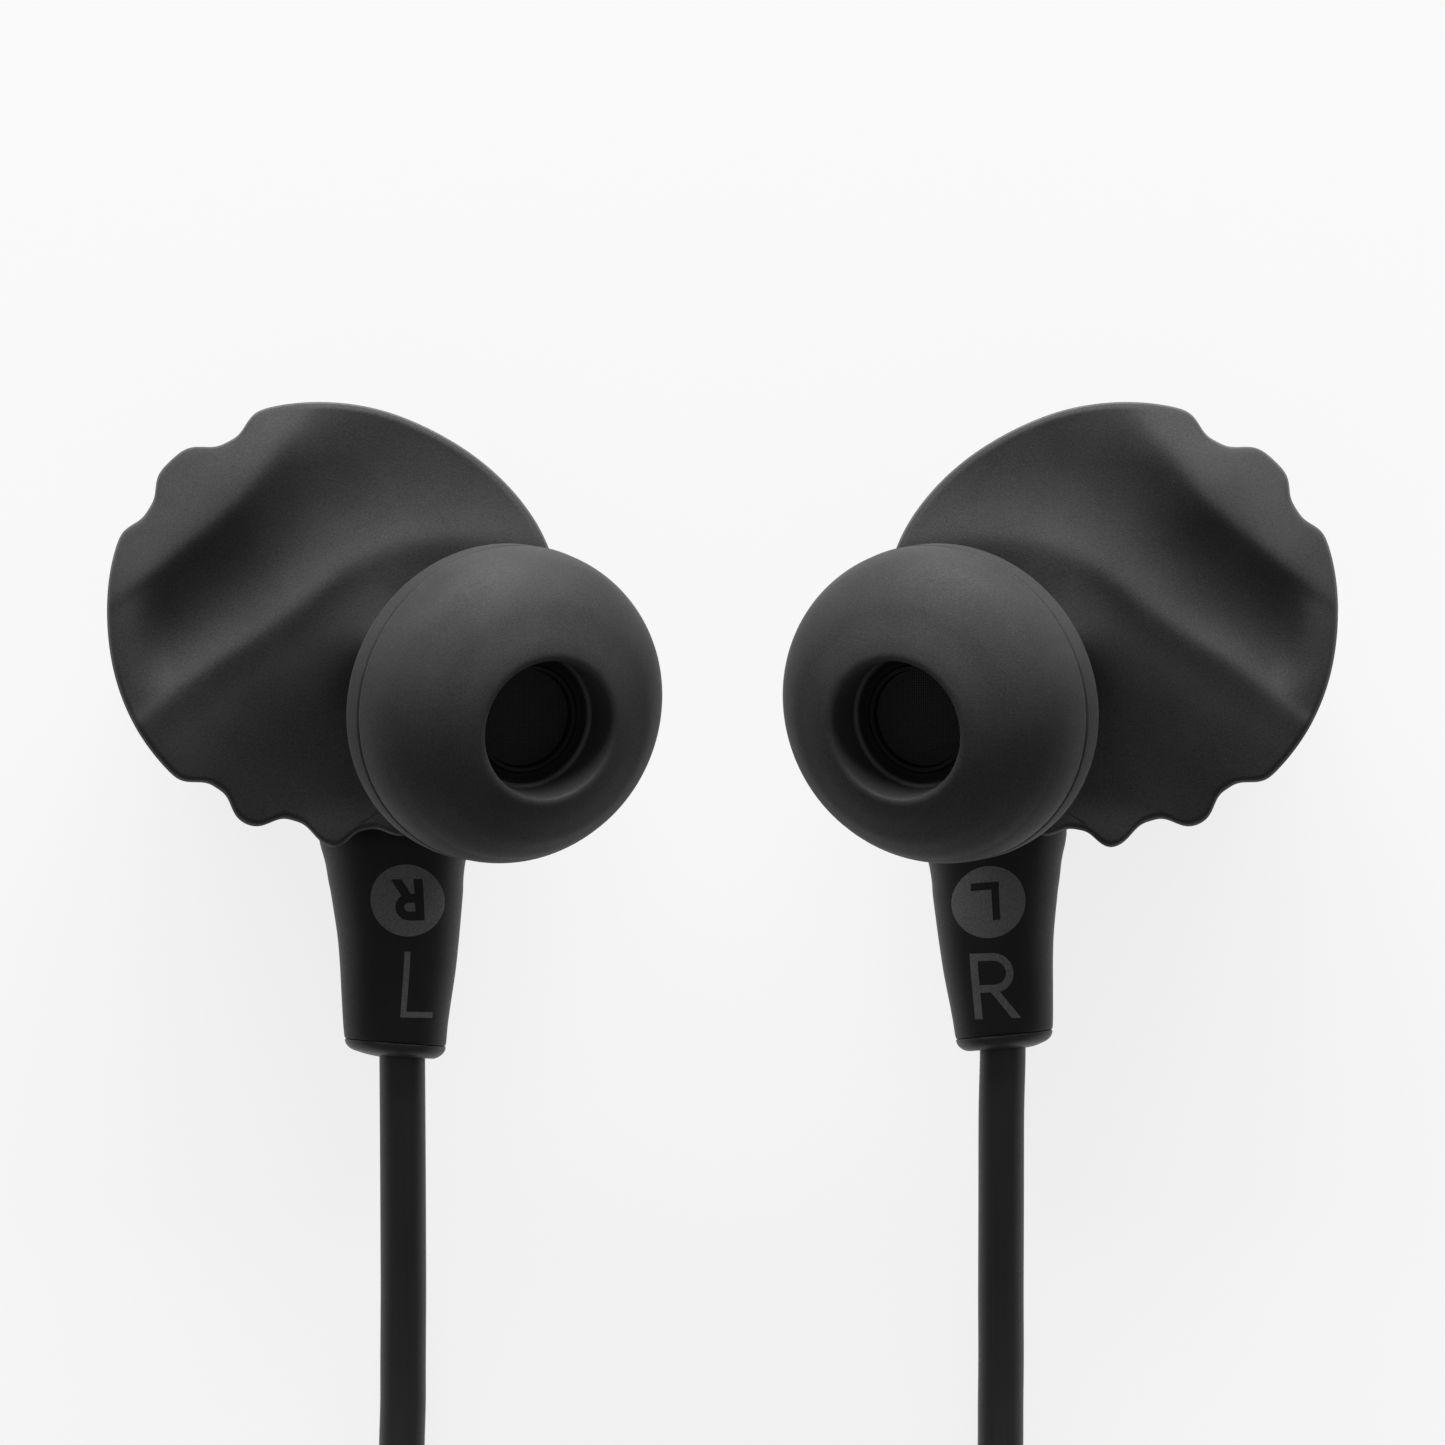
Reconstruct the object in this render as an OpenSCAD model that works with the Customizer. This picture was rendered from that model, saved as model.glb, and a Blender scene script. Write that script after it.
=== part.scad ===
// Wired in-ear earphones, lying on their back covers with the cords bundled.
// Millimetres. X runs across the pair, Y from the stems to the buds, Z up from the table.

/* [Layout] */
// Distance between the axes of the two housings
bud_spacing = 30.54; // [27:0.1:40]
// How far the housing axes lie ahead of the origin
bud_y = 4.13; // [3:0.01:6]

/* [Housing] */
// Outer diameter of both housing shells
housing_d = 14; // [13.6:0.1:14.4]
// Wall of the back shell
housing_wall = 0.9; // [0.7:0.05:1]
// Height at which the two shells meet
split_z = 6; // [5.9:0.05:6.3]
// Thickness of the back shell's floor
floor_t = 0.8; // [0.6:0.05:1]
// Depth of the lip that centres one shell in the other
lip_h = 0.8; // [0.4:0.05:0.9]
// Diameter of the back cover
cover_d = 12; // [9:0.1:12.2]
// Thickness of the back cover
cover_t = 0.8; // [0.6:0.05:1]
// How far the back cover stands out of the back shell
cover_proud = 0.3; // [0.2:0.05:0.4]
// Rise of the front shell's dome
dome_h = 1.7; // [1.5:0.05:1.8]
// Clearance between pieces that are fitted together
fit = 0.05; // [0.04:0.01:0.08]

/* [Nozzle] */
// Lean of the sound nozzle from the housing axis, in degrees
nozzle_tilt = 28.5; // [26:0.5:30]
// Direction of that lean on the left bud, in degrees
nozzle_turn = -25.5; // [-35:0.5:-15]
// Distance from the housing axis to the nozzle's root
nozzle_offset = 4.5; // [4.2:0.01:4.55]
// Outer diameter of the neck below the nozzle
neck_d = 5.2; // [5:0.05:5.3]
// Length of the neck
neck_len = 4.3; // [4:0.05:4.6]
// Outer diameter of the nozzle
nozzle_d = 4.2; // [3.9:0.05:4.3]
// Diameter of the bead at the nozzle's end
bead_d = 4.6; // [4.4:0.05:4.65]
// Length from the nozzle's root to its end
nozzle_len = 8.4; // [8:0.05:8.8]
// Bore of the nozzle
nozzle_bore = 3.2; // [2.6:0.05:3.3]
// Diameter of the nozzle's mesh
mesh_d = 3.8; // [3.6:0.05:3.85]
// Thickness of the nozzle's mesh
mesh_t = 0.25; // [0.15:0.05:0.4]

/* [Ear tip] */
// Largest diameter of the ear tip
tip_d = 12.5; // [11:0.1:13]
// Height of the tip's dome from its rim to the front lip
tip_dome_h = 5.3; // [5:0.05:5.6]
// Distance from the nozzle's root to the tip's front lip
tip_front = 10.5; // [10.3:0.05:11]
// Bore of the tip's inner tube
tip_bore = 4.76; // [4.7:0.02:4.8]
// Width of the tip's mouth, in front of the nozzle
tip_mouth = 5.2; // [5:0.05:5.3]
// Wall of the tip's inner tube
tip_tube_wall = 0.65; // [0.5:0.05:0.75]
// Wall of the tip's dome
tip_wall = 0.45; // [0.35:0.05:0.6]

/* [Ear sleeve] */
// Mean outer diameter of the silicone sleeve
sleeve_d = 17.3; // [17.1:0.1:18]
// Height of the sleeve's rear edge
sleeve_rear = 6; // [6:0.05:6.2]
// Height of the sleeve's face between its ridges
sleeve_face = 9.15; // [9.1:0.05:10]
// Height of the ridge near the rim
ridge_1_h = 1.55; // [0.8:0.05:2]
// Height of the ridge across the middle
ridge_2_h = 1.2; // [0.6:0.1:2]
// Direction square to the ridges on the left bud, in degrees
ridge_turn = -52; // [-60:1:-45]
// Wall of the sleeve around the neck
sleeve_wall = 0.5; // [0.4:0.05:0.7]
// Clearance between the sleeve and the shells
sleeve_gap = 0.08; // [0.06:0.01:0.12]

/* [Stem] */
// Height of the stem's axis
stem_z = 2.9; // [2.85:0.05:3]
// Diameter of the stem where it meets the housing
stem_top_d = 5.45; // [5:0.05:5.5]
// Diameter of the stem at its end ring
stem_low_d = 3.9; // [3.6:0.05:4.2]
// Distance of the left stem from the housing axis
stem_offset_left = 2.38; // [1:0.02:3.2]
// Distance of the right stem from the housing axis
stem_offset_right = 4.8; // [3:0.05:4.85]
// Reach of the left stem below the housing axis
stem_reach_left = 16.85; // [15:0.05:17.5]
// Reach of the right stem below the housing axis
stem_reach_right = 16.54; // [15:0.05:17.5]
// Bore of the stem for the lead wires
stem_bore = 1.8; // [1.4:0.05:1.9]
// Diameter of the spigot that enters the back shell
spigot_d = 2.6; // [2.4:0.05:2.65]
// Diameter of the pocket that holds the cord crimp
pocket_d = 2.6; // [2.4:0.05:2.8]
// Thickness of the end ring
end_t = 0.7; // [0.6:0.05:0.8]

/* [Driver] */
// Diameter of the driver
driver_d = 10; // [9.6:0.1:10.2]
// Height of the underside of the driver's yoke
driver_z = 3.6; // [3.55:0.05:3.7]
// Diameter of the yoke
yoke_d = 6.6; // [6.4:0.05:6.7]
// Wall of the yoke and thickness of its floor
yoke_wall = 0.35; // [0.3:0.05:0.4]
// Diameter of the magnet
magnet_d = 4.6; // [4:0.1:4.8]
// Thickness of the magnet
magnet_t = 1; // [0.8:0.05:1.1]
// Diameter of the top plate
plate_d = 4.8; // [4.6:0.05:4.85]
// Thickness of the top plate
plate_t = 0.4; // [0.3:0.05:0.5]
// Outer diameter of the voice coil
voice_coil_d = 5.6; // [5.5:0.02:5.64]
// Thickness of the voice coil's winding
voice_coil_t = 0.2; // [0.12:0.02:0.24]
// Travel of the diaphragm each way
diaphragm_travel = 0.15; // [0.1:0.01:0.2]

/* [Cord] */
// Diameter of the two branch cords
branch_d = 1.8; // [1.6:0.05:1.85]
// Diameter of the main cord
main_d = 2; // [1.8:0.05:2.05]
// Least gap between the turns of a coil
turn_gap = 0.45; // [0.41:0.01:0.6]
// Outer radius of the branch coils, to the cord's middle
branch_coil_r = 12; // [11.5:0.1:12.2]
// Outer radius of the main coil, to the cord's middle
main_coil_r = 13.25; // [12.8:0.05:13.4]
// Width of the ties that hold the coils
tie_w = 2; // [1.5:0.1:2.2]
// Thickness of the ties
tie_t = 0.3; // [0.2:0.05:0.4]

/* [Splitter and plug] */
// Width of the splitter
splitter_w = 4.8; // [4.6:0.1:5]
// Length of the splitter
splitter_l = 8; // [7:0.1:8.5]
// Height of the splitter
splitter_h = 3.4; // [3.2:0.05:3.8]
// Diameter of the plug's boot
boot_d = 6; // [5:0.1:6.5]
// Length of the plug's boot
boot_l = 15; // [12:0.1:15.5]
// Diameter of the plug's pin
pin_d = 3.5; // [3:0.1:4]
// Length of the plug's pin
pin_l = 14; // [12:0.1:14.5]

/* [Hidden] */
$fn = 64;
LEFT = 0;
RIGHT = 1;
housing_r = housing_d / 2;
cavity_r = housing_r - housing_wall;
cover_r = cover_d / 2;
floor_z = cover_t + floor_t;

// Driver levels, from the yoke's underside to the top of the grille
frame_z = driver_z + 1;
driver_r = driver_d / 2;
frame_wall = 0.3;
frame_floor = 0.4;
diaphragm_rise = 1.6;
diaphragm_t = 0.12;
diaphragm_crown = 0.25;
grille_gap = 0.28;
frame_h = diaphragm_rise + diaphragm_t + diaphragm_crown + diaphragm_travel + grille_gap;
grille_z = frame_z + frame_h;
grille_t = 0.2;
shoulder_z = grille_z + grille_t;
magnet_z = driver_z + yoke_wall;
plate_z = magnet_z + magnet_t;
voice_coil_z = plate_z - 0.2;
diaphragm_z = frame_z + diaphragm_rise;

// Front shell
dome_z = shoulder_z;
neck_r = neck_d / 2;
nozzle_root_z = dome_z + 0.8;
driver_seat_r = driver_r + fit;
shoulder_r = driver_r - 0.4;

// Ear tip, along the nozzle from its root
tip_seat = neck_len + 0.1;
tip_rim_s = tip_front - tip_dome_h;
tip_bore_r = tip_bore / 2;
tip_mouth_r = tip_mouth / 2;
tip_tube_r = tip_bore_r + tip_tube_wall;
tip_lip_r = 0.45;
DOME_STEPS = 12;

// Ear sleeve: outline beyond its mean radius by direction, then the notches in its rim
sleeve_r = sleeve_d / 2;
OUTLINE = [[0, 0.35], [20, 0.4], [30, 0.26], [48, 0], [63, -0.12], [90, -0.02], [108, 0.11],
    [138, 0.2], [158, 0.15], [180, -0.12], [210, -0.23], [224, -0.32], [247, -0.31], [270, 0.05],
    [300, 0.05], [360, 0.35]];
// Each notch: direction, depth, half width in degrees
NOTCHES = [[119.3, 0.71, 7.4], [147.5, 0.55, 6.5], [235.2, 0.69, 7], [259.2, 0.8, 7.3], [280, 0.6, 6]];
SLEEVE_SIDES = 90;
FACE_ROWS = 9;
rim_in = 0.95;
rim_fall = 0.75;
// Ridge lines: distance from the housing axis, then how they bend
ridge_1_at = -5.5;
ridge_1_bend = 0.3;
ridge_2_at = -1.4;
ridge_2_bend = 0.085;
ridge_2_bend_at = 1.4;
// Slope outside ridge 1, height of the plain part beyond ridge 2, and its fall to the stem
outer_slope = 0.4;
plain_h = 0.35;
plain_fall = 1.3;
ridge_round = 0.35;
sleeve_base_s = 1.3;
sleeve_base_r = neck_r + 1;

// Stems
stem_pivot = 3.5;
shoulder_h = 5.3;
spigot_start = 1.3;
pocket_h = 6;
crimp_h = 2;
crimp_gap = 2.4;
wire_r = 0.15;
wire_pitch = 0.7;
wire_spread = 0.3;
stem_end_taper = 0.35;
board = [3.2, 1.2, 0.4];
board_y = -4.25;

// Cords: routes by hand, from the stem end back to the splitter, then on to the plug
branch_r = branch_d / 2;
main_r = main_d / 2;
CORD_SIDES = 8;
COIL_SIDES = 6;
TURN_RINGS = 24;
BRANCH_TURNS = 2.75;
BRANCH_LAYERS = 2;
MAIN_TURNS = 2.625;
branch_pitch = branch_d + turn_gap;
main_pitch = main_d + turn_gap;
MAIN_LAYERS = 4;
MAIN_CUT = 0.25;
coil_lift = tie_t + fit;
branch_base = branch_r + coil_lift;
main_base = main_r + coil_lift;
branch_top = branch_base + (BRANCH_LAYERS - 1) * branch_pitch;
coil_y = -50;
main_coil_y = -79.5;
left_entry_x = -2;
right_entry_x = 0.5;
middle_x = (left_entry_x + right_entry_x) / 2;
inlet_x = 1;
splitter_y = -60;
splitter_z = splitter_h / 2;
channel_l = 2;
splitter_end = splitter_y - splitter_l;
plug_x = -16;
plug_y = -75;
boot_r = boot_d / 2;
pin_r = pin_d / 2;

LEFT_ROUTE = [[-12.7, -15, 2.8], [-12.65, -18.5, 2.2], [-12.6, -22, 1.4], [-12.6, -26, branch_r],
    [-12.5, -30, branch_r], [-11.2, -34, branch_r], [-8.8, -37.5, branch_r], [-6, -40.5, branch_r],
    [-3.6, -43.6, branch_r], [-2.3, -46.2, 1.05]];
RIGHT_ROUTE = [[10.95, -15, 2.8], [10.95, -18.5, 2.2], [10.95, -22, 1.4], [10.95, -26, branch_r],
    [10.8, -30, branch_r], [9.7, -34, branch_r], [7.3, -37.5, branch_r], [4.5, -40.5, branch_r],
    [2.1, -43.6, branch_r], [0.8, -46.2, 1.05]];
// Distance from the middle line, Y and Z of each branch between its coil and the splitter
MERGE_ROUTE = [[1.2, -54, branch_top], [1.1, -56.5, 2.6], [1, -58.8, 1.8]];
MAIN_ROUTE = [[middle_x, -70.5, 1.4], [middle_x, -73.5, main_r], [middle_x, -75.5, 1.15]];
PLUG_ROUTE = [[7.5, -66.9, 8.5], [4.5, -66.9, 7.5], [1.5, -66.9, 6.2], [-1.5, -66.9, 5.2],
    [-4.5, -66.9, 4.2], [-7.3, -67.1, 2.8], [-10, -67.7, 1.6], [-12.5, -68.9, 1.05], [-14.6, -70.8, 1.5],
    [-15.7, -73, 2.4]];

// ---------- surfaces made of rows of points ----------

// Triangles between row i and the next; every row is a closed loop of n points
function band(i, k, n) = [for (j = [0 : n - 1]) each
    let (a = i * n + j, b = i * n + (j + 1) % n, c = k * n + j, d = k * n + (j + 1) % n)
    [[a, b, d], [a, d, c]]];
function fan(first, n, flip) = [for (j = [1 : n - 2])
    flip ? [first, first + j + 1, first + j] : [first, first + j, first + j + 1]];
function flat_list(rows) = [for (row = rows) each row];

// A solid through closed loops, with an end face on the first and the last
module loft(rows) {
    n = len(rows[0]);
    last = len(rows) - 1;
    polyhedron(flat_list(rows), concat(
        [for (i = [0 : last - 1]) each band(i, i + 1, n)],
        fan(0, n, true),
        fan(last * n, n, false)), convexity = 10);
}

// A solid whose rows of points close on themselves both ways
module ring_shell(rows) {
    n = len(rows[0]);
    m = len(rows);
    polyhedron(flat_list(rows), [for (i = [0 : m - 1]) each band((i + 1) % m, i, n)], convexity = 10);
}

function unit(v) = v / norm(v);
function mix(a, b, f) = a * (1 - f) + b * f;

// One loop of a tube round point p, square to direction d, with a corner on the far side of ref
function tube_loop(p, d, r, sides, ref) =
    let (side = unit(cross(d, ref)), up = cross(side, d))
    [for (k = [0 : sides - 1]) let (a = -90 + 360 * k / sides) p + r * (cos(a) * side + sin(a) * up)];

module tube(points, r, sides, first_dir, last_dir, ref = [0, 0, 1]) {
    last = len(points) - 1;
    loft([for (i = [0 : last]) tube_loop(points[i],
        i == 0 ? first_dir : i == last ? last_dir : unit(points[i + 1] - points[i - 1]), r, sides, ref)]);
}

// ---------- frames of the pieces ----------

// The frame of one bud: the left bud as it lies, the right one its mirror image
module bud(side) {
    translate([(side == LEFT ? -1 : 1) * bud_spacing / 2, bud_y, 0])
        if (side == LEFT) children();
        else mirror([1, 0, 0]) children();
}

// The frame of the nozzle: Z along it, from its root
module on_nozzle() {
    rotate([0, 0, nozzle_turn]) translate([nozzle_offset, 0, nozzle_root_z])
        rotate([0, nozzle_tilt, 0]) children();
}

function stem_offset(side) = side == LEFT ? stem_offset_left : stem_offset_right;
function stem_lean(side) = side == LEFT ? 0.5 : -2.4;
function stem_len(side) =
    ((side == LEFT ? stem_reach_left : stem_reach_right) - stem_pivot) / cos(stem_lean(side));

// The frame of a stem: Z down it, from a pivot inside the housing
module on_stem(side) {
    translate([stem_offset(side), -stem_pivot, stem_z]) rotate([0, 0, stem_lean(side)])
        rotate([90, 0, 0]) children();
}

// A point on a stem's axis, in the object's frame
function stem_point(side, h) =
    let (x = stem_offset(side) + h * sin(stem_lean(side)), y = -stem_pivot - h * cos(stem_lean(side)))
    side == LEFT ? [x - bud_spacing / 2, y + bud_y, stem_z] : [bud_spacing / 2 - x, y + bud_y, stem_z];

// ---------- housing ----------

module back_shell(side) {
    foot_r = 0.7;
    arc = [for (a = [0 : 15 : 90]) [housing_r - foot_r + foot_r * sin(a),
        cover_proud + foot_r - foot_r * cos(a)]];
    color("#26272a") difference() {
        rotate_extrude() polygon(concat([[0, cover_proud]], arc, [[housing_r, split_z], [0, split_z]]));
        translate([0, 0, floor_z]) cylinder(r = cavity_r, h = split_z);
        cylinder(r = cover_r + fit, h = cover_t);
        on_stem(side) cylinder(d = spigot_d + 2 * fit, h = housing_r);
    }
}

module back_cover() {
    edge = 0.15;
    color("#1b1c1e") rotate_extrude()
        polygon([[0, 0], [cover_r - edge, 0], [cover_r, edge], [cover_r, cover_t], [0, cover_t]]);
}

module front_shell() {
    dome = [[housing_r, dome_z], [housing_r * 0.91, dome_z + 0.36 * dome_h],
        [housing_r * 0.69, dome_z + 0.76 * dome_h], [0, dome_z + dome_h]];
    color("#26272a") difference() {
        union() {
            rotate_extrude() polygon(concat([[0, split_z], [housing_r, split_z]], dome));
            translate([0, 0, split_z - lip_h]) cylinder(r = cavity_r - fit, h = lip_h + 0.5);
            on_nozzle() nozzle_body();
        }
        translate([0, 0, split_z - lip_h - 1]) cylinder(r = driver_seat_r, h = shoulder_z - split_z + lip_h + 1);
        rotate_extrude() polygon([[0, dome_z - 0.1], [shoulder_r, dome_z - 0.1], [shoulder_r, dome_z + 0.3],
            [0, dome_z + dome_h - housing_wall]]);
        on_nozzle() translate([0, 0, -0.6]) cylinder(d = nozzle_bore, h = nozzle_len + 1);
        on_nozzle() translate([0, 0, nozzle_len - 2 * mesh_t]) cylinder(d = mesh_d + 2 * fit, h = 1);
    }
}

// Neck, nozzle and bead as one turned shape
module nozzle_body() {
    bead_len = 0.8;
    chamfer = 0.2;
    rotate_extrude() polygon([[0, 0], [neck_r, 0], [neck_r, neck_len - chamfer],
        [neck_r - chamfer, neck_len], [nozzle_d / 2, neck_len],
        [nozzle_d / 2, nozzle_len - bead_len - chamfer], [bead_d / 2, nozzle_len - bead_len],
        [bead_d / 2, nozzle_len - chamfer], [bead_d / 2 - chamfer, nozzle_len], [0, nozzle_len]]);
}

module nozzle_mesh() {
    color("#4a4a4c") on_nozzle() translate([0, 0, nozzle_len - 2 * mesh_t])
        cylinder(d = mesh_d, h = mesh_t);
}

// ---------- driver ----------

module driver_grille() {
    hole_r = 0.32;
    color("#8a8a88") difference() {
        translate([0, 0, grille_z]) cylinder(r = driver_r, h = grille_t);
        for (ring = [0 : 2]) for (k = [0 : max(0, 6 * ring - 1)])
            rotate([0, 0, ring == 0 ? 0 : 60 * k / ring]) translate([1.25 * ring, 0, grille_z - 1])
                cylinder(r = hole_r, h = 2, $fn = 24);
    }
}

module diaphragm() {
    rim_r = driver_r - frame_wall - 0.15;
    bond_r = voice_coil_d / 2;
    roll = 0.3;
    top = [for (f = [0 : 0.25 : 1]) [bond_r * f, diaphragm_z + diaphragm_t + diaphragm_crown * (1 - f * f)]];
    under = [for (f = [1 : -0.25 : 0]) [bond_r * f, diaphragm_z + diaphragm_crown * (1 - f * f)]];
    color("#b9a27a") rotate_extrude() polygon(concat(top, [[mix(bond_r, rim_r, 0.5), diaphragm_z + roll],
        [rim_r, diaphragm_z + diaphragm_t], [rim_r, diaphragm_z],
        [mix(bond_r, rim_r, 0.5), diaphragm_z + roll - diaphragm_t]], under));
}

module voice_coil() {
    color("#b4622d") difference() {
        translate([0, 0, voice_coil_z]) cylinder(d = voice_coil_d, h = diaphragm_z - voice_coil_z);
        translate([0, 0, voice_coil_z - 1]) cylinder(d = voice_coil_d - 2 * voice_coil_t, h = 4);
    }
}

module driver_frame() {
    vent_r = 0.35;
    yoke_r = yoke_d / 2 + fit;
    color("#5b5d60") difference() {
        rotate_extrude() polygon([[yoke_r, frame_z], [driver_r, frame_z], [driver_r, grille_z],
            [driver_r - frame_wall, grille_z], [driver_r - frame_wall, frame_z + frame_floor],
            [yoke_r, frame_z + frame_floor]]);
        for (a = [0 : 60 : 300]) rotate([0, 0, a]) translate([(yoke_r + driver_r - frame_wall) / 2, 0, frame_z - 1])
            cylinder(r = vent_r, h = 2, $fn = 24);
    }
}

module top_plate() {
    color("#a9abad") translate([0, 0, plate_z]) cylinder(d = plate_d, h = plate_t);
}

module magnet() {
    color("#77797c") translate([0, 0, magnet_z]) cylinder(d = magnet_d, h = magnet_t);
}

module yoke() {
    vent_r = 0.5;
    color("#9a9c9e") difference() {
        translate([0, 0, driver_z]) cylinder(d = yoke_d, h = plate_z + plate_t - driver_z);
        translate([0, 0, magnet_z]) cylinder(d = yoke_d - 2 * yoke_wall, h = 4);
        translate([0, 0, driver_z - 1]) cylinder(r = vent_r, h = 2);
    }
}

module terminal_board() {
    color("#2d6b3c") translate([-board.x / 2, board_y - board.y / 2, frame_z - board.z]) cube(board);
}

// ---------- ear tip ----------

// Radius of the tip's dome at fraction f of its height; fuller than a half circle near the lip
function dome_r(f, low, high) = high + (low - high) * pow(1 - pow(f, 3), 0.6);

module ear_tip() {
    tip_r = tip_d / 2;
    lip_s = tip_front - tip_lip_r;
    lip_mid = tip_mouth_r + tip_lip_r;
    lip_out = lip_mid + tip_lip_r;
    fs = [for (k = [0 : DOME_STEPS]) k / DOME_STEPS];
    outer = [for (f = fs) [dome_r(f, tip_r, lip_out - 0.1), mix(tip_rim_s, lip_s + 0.2, f)]];
    inner = [for (f = fs) [dome_r(1 - f, tip_r - tip_wall, tip_tube_r + 0.1),
        mix(lip_s - 0.7, tip_rim_s, f)]];
    lip = [for (a = [30 : 30 : 180]) [lip_mid + tip_lip_r * cos(a), lip_s + tip_lip_r * sin(a)]];
    color("#202123") on_nozzle() rotate_extrude() polygon(concat(
        [[tip_tube_r, tip_seat], [tip_tube_r, lip_s - 0.9]],
        inner, outer, lip, [[tip_mouth_r, nozzle_len], [tip_bore_r, nozzle_len], [tip_bore_r, tip_seat]]));
}

// ---------- ear sleeve ----------

function sleeve_outline(a) =
    sleeve_r + lookup((a + 360) % 360, OUTLINE)
    - max([for (n = NOTCHES) n[1] * exp(-pow(abs(a - n[0]) / n[2], 3))]);

// The lower of two heights, with the crease where they cross rounded off
function lower_of(a, b) = (a + b - sqrt(pow(a - b, 2) + pow(ridge_round, 2))) / 2;
function soft_step(v) = let (c = min(1, max(0, v))) c * c * (3 - 2 * c);

// Height of the sleeve's face, by the distance q across its two ridges and t along them: a trough
// between the ridges, a slope outside the first, and a plain part beyond the second
function sleeve_height(p) =
    let (q = p.x * cos(ridge_turn) + p.y * sin(ridge_turn),
         t = -p.x * sin(ridge_turn) + p.y * cos(ridge_turn),
         crest_1 = ridge_1_at - ridge_1_bend * (t - 0.3 + sqrt(pow(t - 0.3, 2) + 2.25)) / 2,
         crest_2 = ridge_2_at + ridge_2_bend * pow(max(0, t - ridge_2_bend_at), 2)
             - 0.3 / (1 + exp((t + 3.3) / 0.6)),
         w = (q - crest_1) / (crest_2 - crest_1),
         fall = ridge_1_h - ridge_1_h / 2 * soft_step((t + 0.5) / 5),
         outer = sleeve_face + fall + outer_slope * (q - crest_1),
         trough = sleeve_face + fall * pow(abs(1 - w), 3) + ridge_2_h * pow(abs(w), 3),
         far = max(0, q - crest_2 - 1.5) / 5,
         beyond = sleeve_face + plain_h + (ridge_2_h - plain_h) * exp(-(q - crest_2) / 1.8)
             - plain_fall * (1 - exp(-far * far)))
    lower_of(lower_of(outer, trough), beyond);

// A loop round the leaning nozzle, or flat where tilt is 0
function nozzle_loop(along, z, r, tilt) = [for (k = [0 : SLEEVE_SIDES - 1])
    let (a = 360 * k / SLEEVE_SIDES, b = a - nozzle_turn, u = along + r * cos(tilt) * cos(b), w = r * sin(b))
    [u * cos(nozzle_turn) - w * sin(nozzle_turn), u * sin(nozzle_turn) + w * cos(nozzle_turn),
     z - r * sin(tilt) * cos(b)]];
function neck_loop(s, r) = nozzle_loop(nozzle_offset + s * sin(nozzle_tilt),
    nozzle_root_z + s * cos(nozzle_tilt), r, nozzle_tilt);

// A loop on the sleeve's outline, drawn in by inset, on the rim that rolls off below the face
function rim_loop(inset) = [for (k = [0 : SLEEVE_SIDES - 1])
    let (a = 360 * k / SLEEVE_SIDES, r = sleeve_outline(a) - inset, p = [r * cos(a), r * sin(a)])
    [p.x, p.y, sleeve_height(p) - rim_fall * (1 - sqrt(1 - pow(1 - inset / rim_in, 2)))]];
function rear_loop(inset, z) = [for (k = [0 : SLEEVE_SIDES - 1])
    let (a = 360 * k / SLEEVE_SIDES, r = sleeve_outline(a) - inset) [r * cos(a), r * sin(a), z]];

// A loop of the face, part way from the rim to the neck
function face_loop(v, rim, neck) = [for (k = [0 : SLEEVE_SIDES - 1])
    let (p = mix(rim[k], neck[k], v), near = soft_step((v - 0.3) / 0.7))
    [p.x, p.y, mix(sleeve_height(p), neck[k].z, near)]];

module ear_sleeve() {
    top_s = neck_len - 0.5;
    inner_neck = neck_r + sleeve_gap;
    inner_rim = housing_r + sleeve_gap;
    rim = rim_loop(rim_in);
    base = neck_loop(sleeve_base_s, sleeve_base_r);
    color("#2a2b2e") ring_shell(concat(
        [rear_loop(0.25, sleeve_rear), rear_loop(0, sleeve_rear + 0.4), rim_loop(0),
         rim_loop(rim_in * 0.3), rim],
        [for (i = [1 : FACE_ROWS - 1]) face_loop(i / FACE_ROWS, rim, base)],
        [base, neck_loop(top_s, inner_neck + sleeve_wall), neck_loop(top_s, inner_neck),
         neck_loop(sleeve_base_s, inner_neck), nozzle_loop(1.15, dome_z + 1.05, housing_r - 0.55, 3.65),
         nozzle_loop(0, dome_z + 0.1, inner_rim + 0.12, 0),
         nozzle_loop(0, dome_z - 0.6, inner_rim, 0), nozzle_loop(0, sleeve_rear, inner_rim, 0)]));
}

// ---------- stem ----------

module stem(side) {
    length = stem_len(side) - end_t;
    color("#242528") difference() {
        union() {
            difference() {
                on_stem(side) rotate_extrude() polygon([[0, 0], [stem_top_d / 2, 0],
                    [stem_top_d / 2, shoulder_h], [stem_low_d / 2, length], [0, length]]);
                translate([0, 0, -1]) cylinder(r = housing_r + fit, h = 12);
            }
            on_stem(side) translate([0, 0, spigot_start]) cylinder(d = spigot_d, h = shoulder_h);
        }
        on_stem(side) translate([0, 0, -1]) cylinder(d = stem_bore, h = length + 2);
        on_stem(side) translate([0, 0, length - pocket_h]) cylinder(d = pocket_d, h = pocket_h + 1);
    }
}

module stem_end(side) {
    plug_in = 1.4;
    length = stem_len(side);
    r = stem_low_d / 2;
    color("#1d1e20") on_stem(side) difference() {
        rotate_extrude() polygon([[0, length - end_t - plug_in], [pocket_d / 2 - fit, length - end_t - plug_in],
            [pocket_d / 2 - fit, length - end_t], [r, length - end_t], [r, length - stem_end_taper],
            [r - 0.1, length - 0.15], [r - stem_end_taper, length], [0, length]]);
        translate([0, 0, length - 4]) cylinder(r = branch_r + fit, h = 5);
    }
}

module cord_crimp(side) {
    color("#c9a24a") on_stem(side) translate([0, 0, stem_len(side) - end_t - crimp_gap - crimp_h])
        cylinder(d = pocket_d - 2 * fit, h = crimp_h);
}

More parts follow.
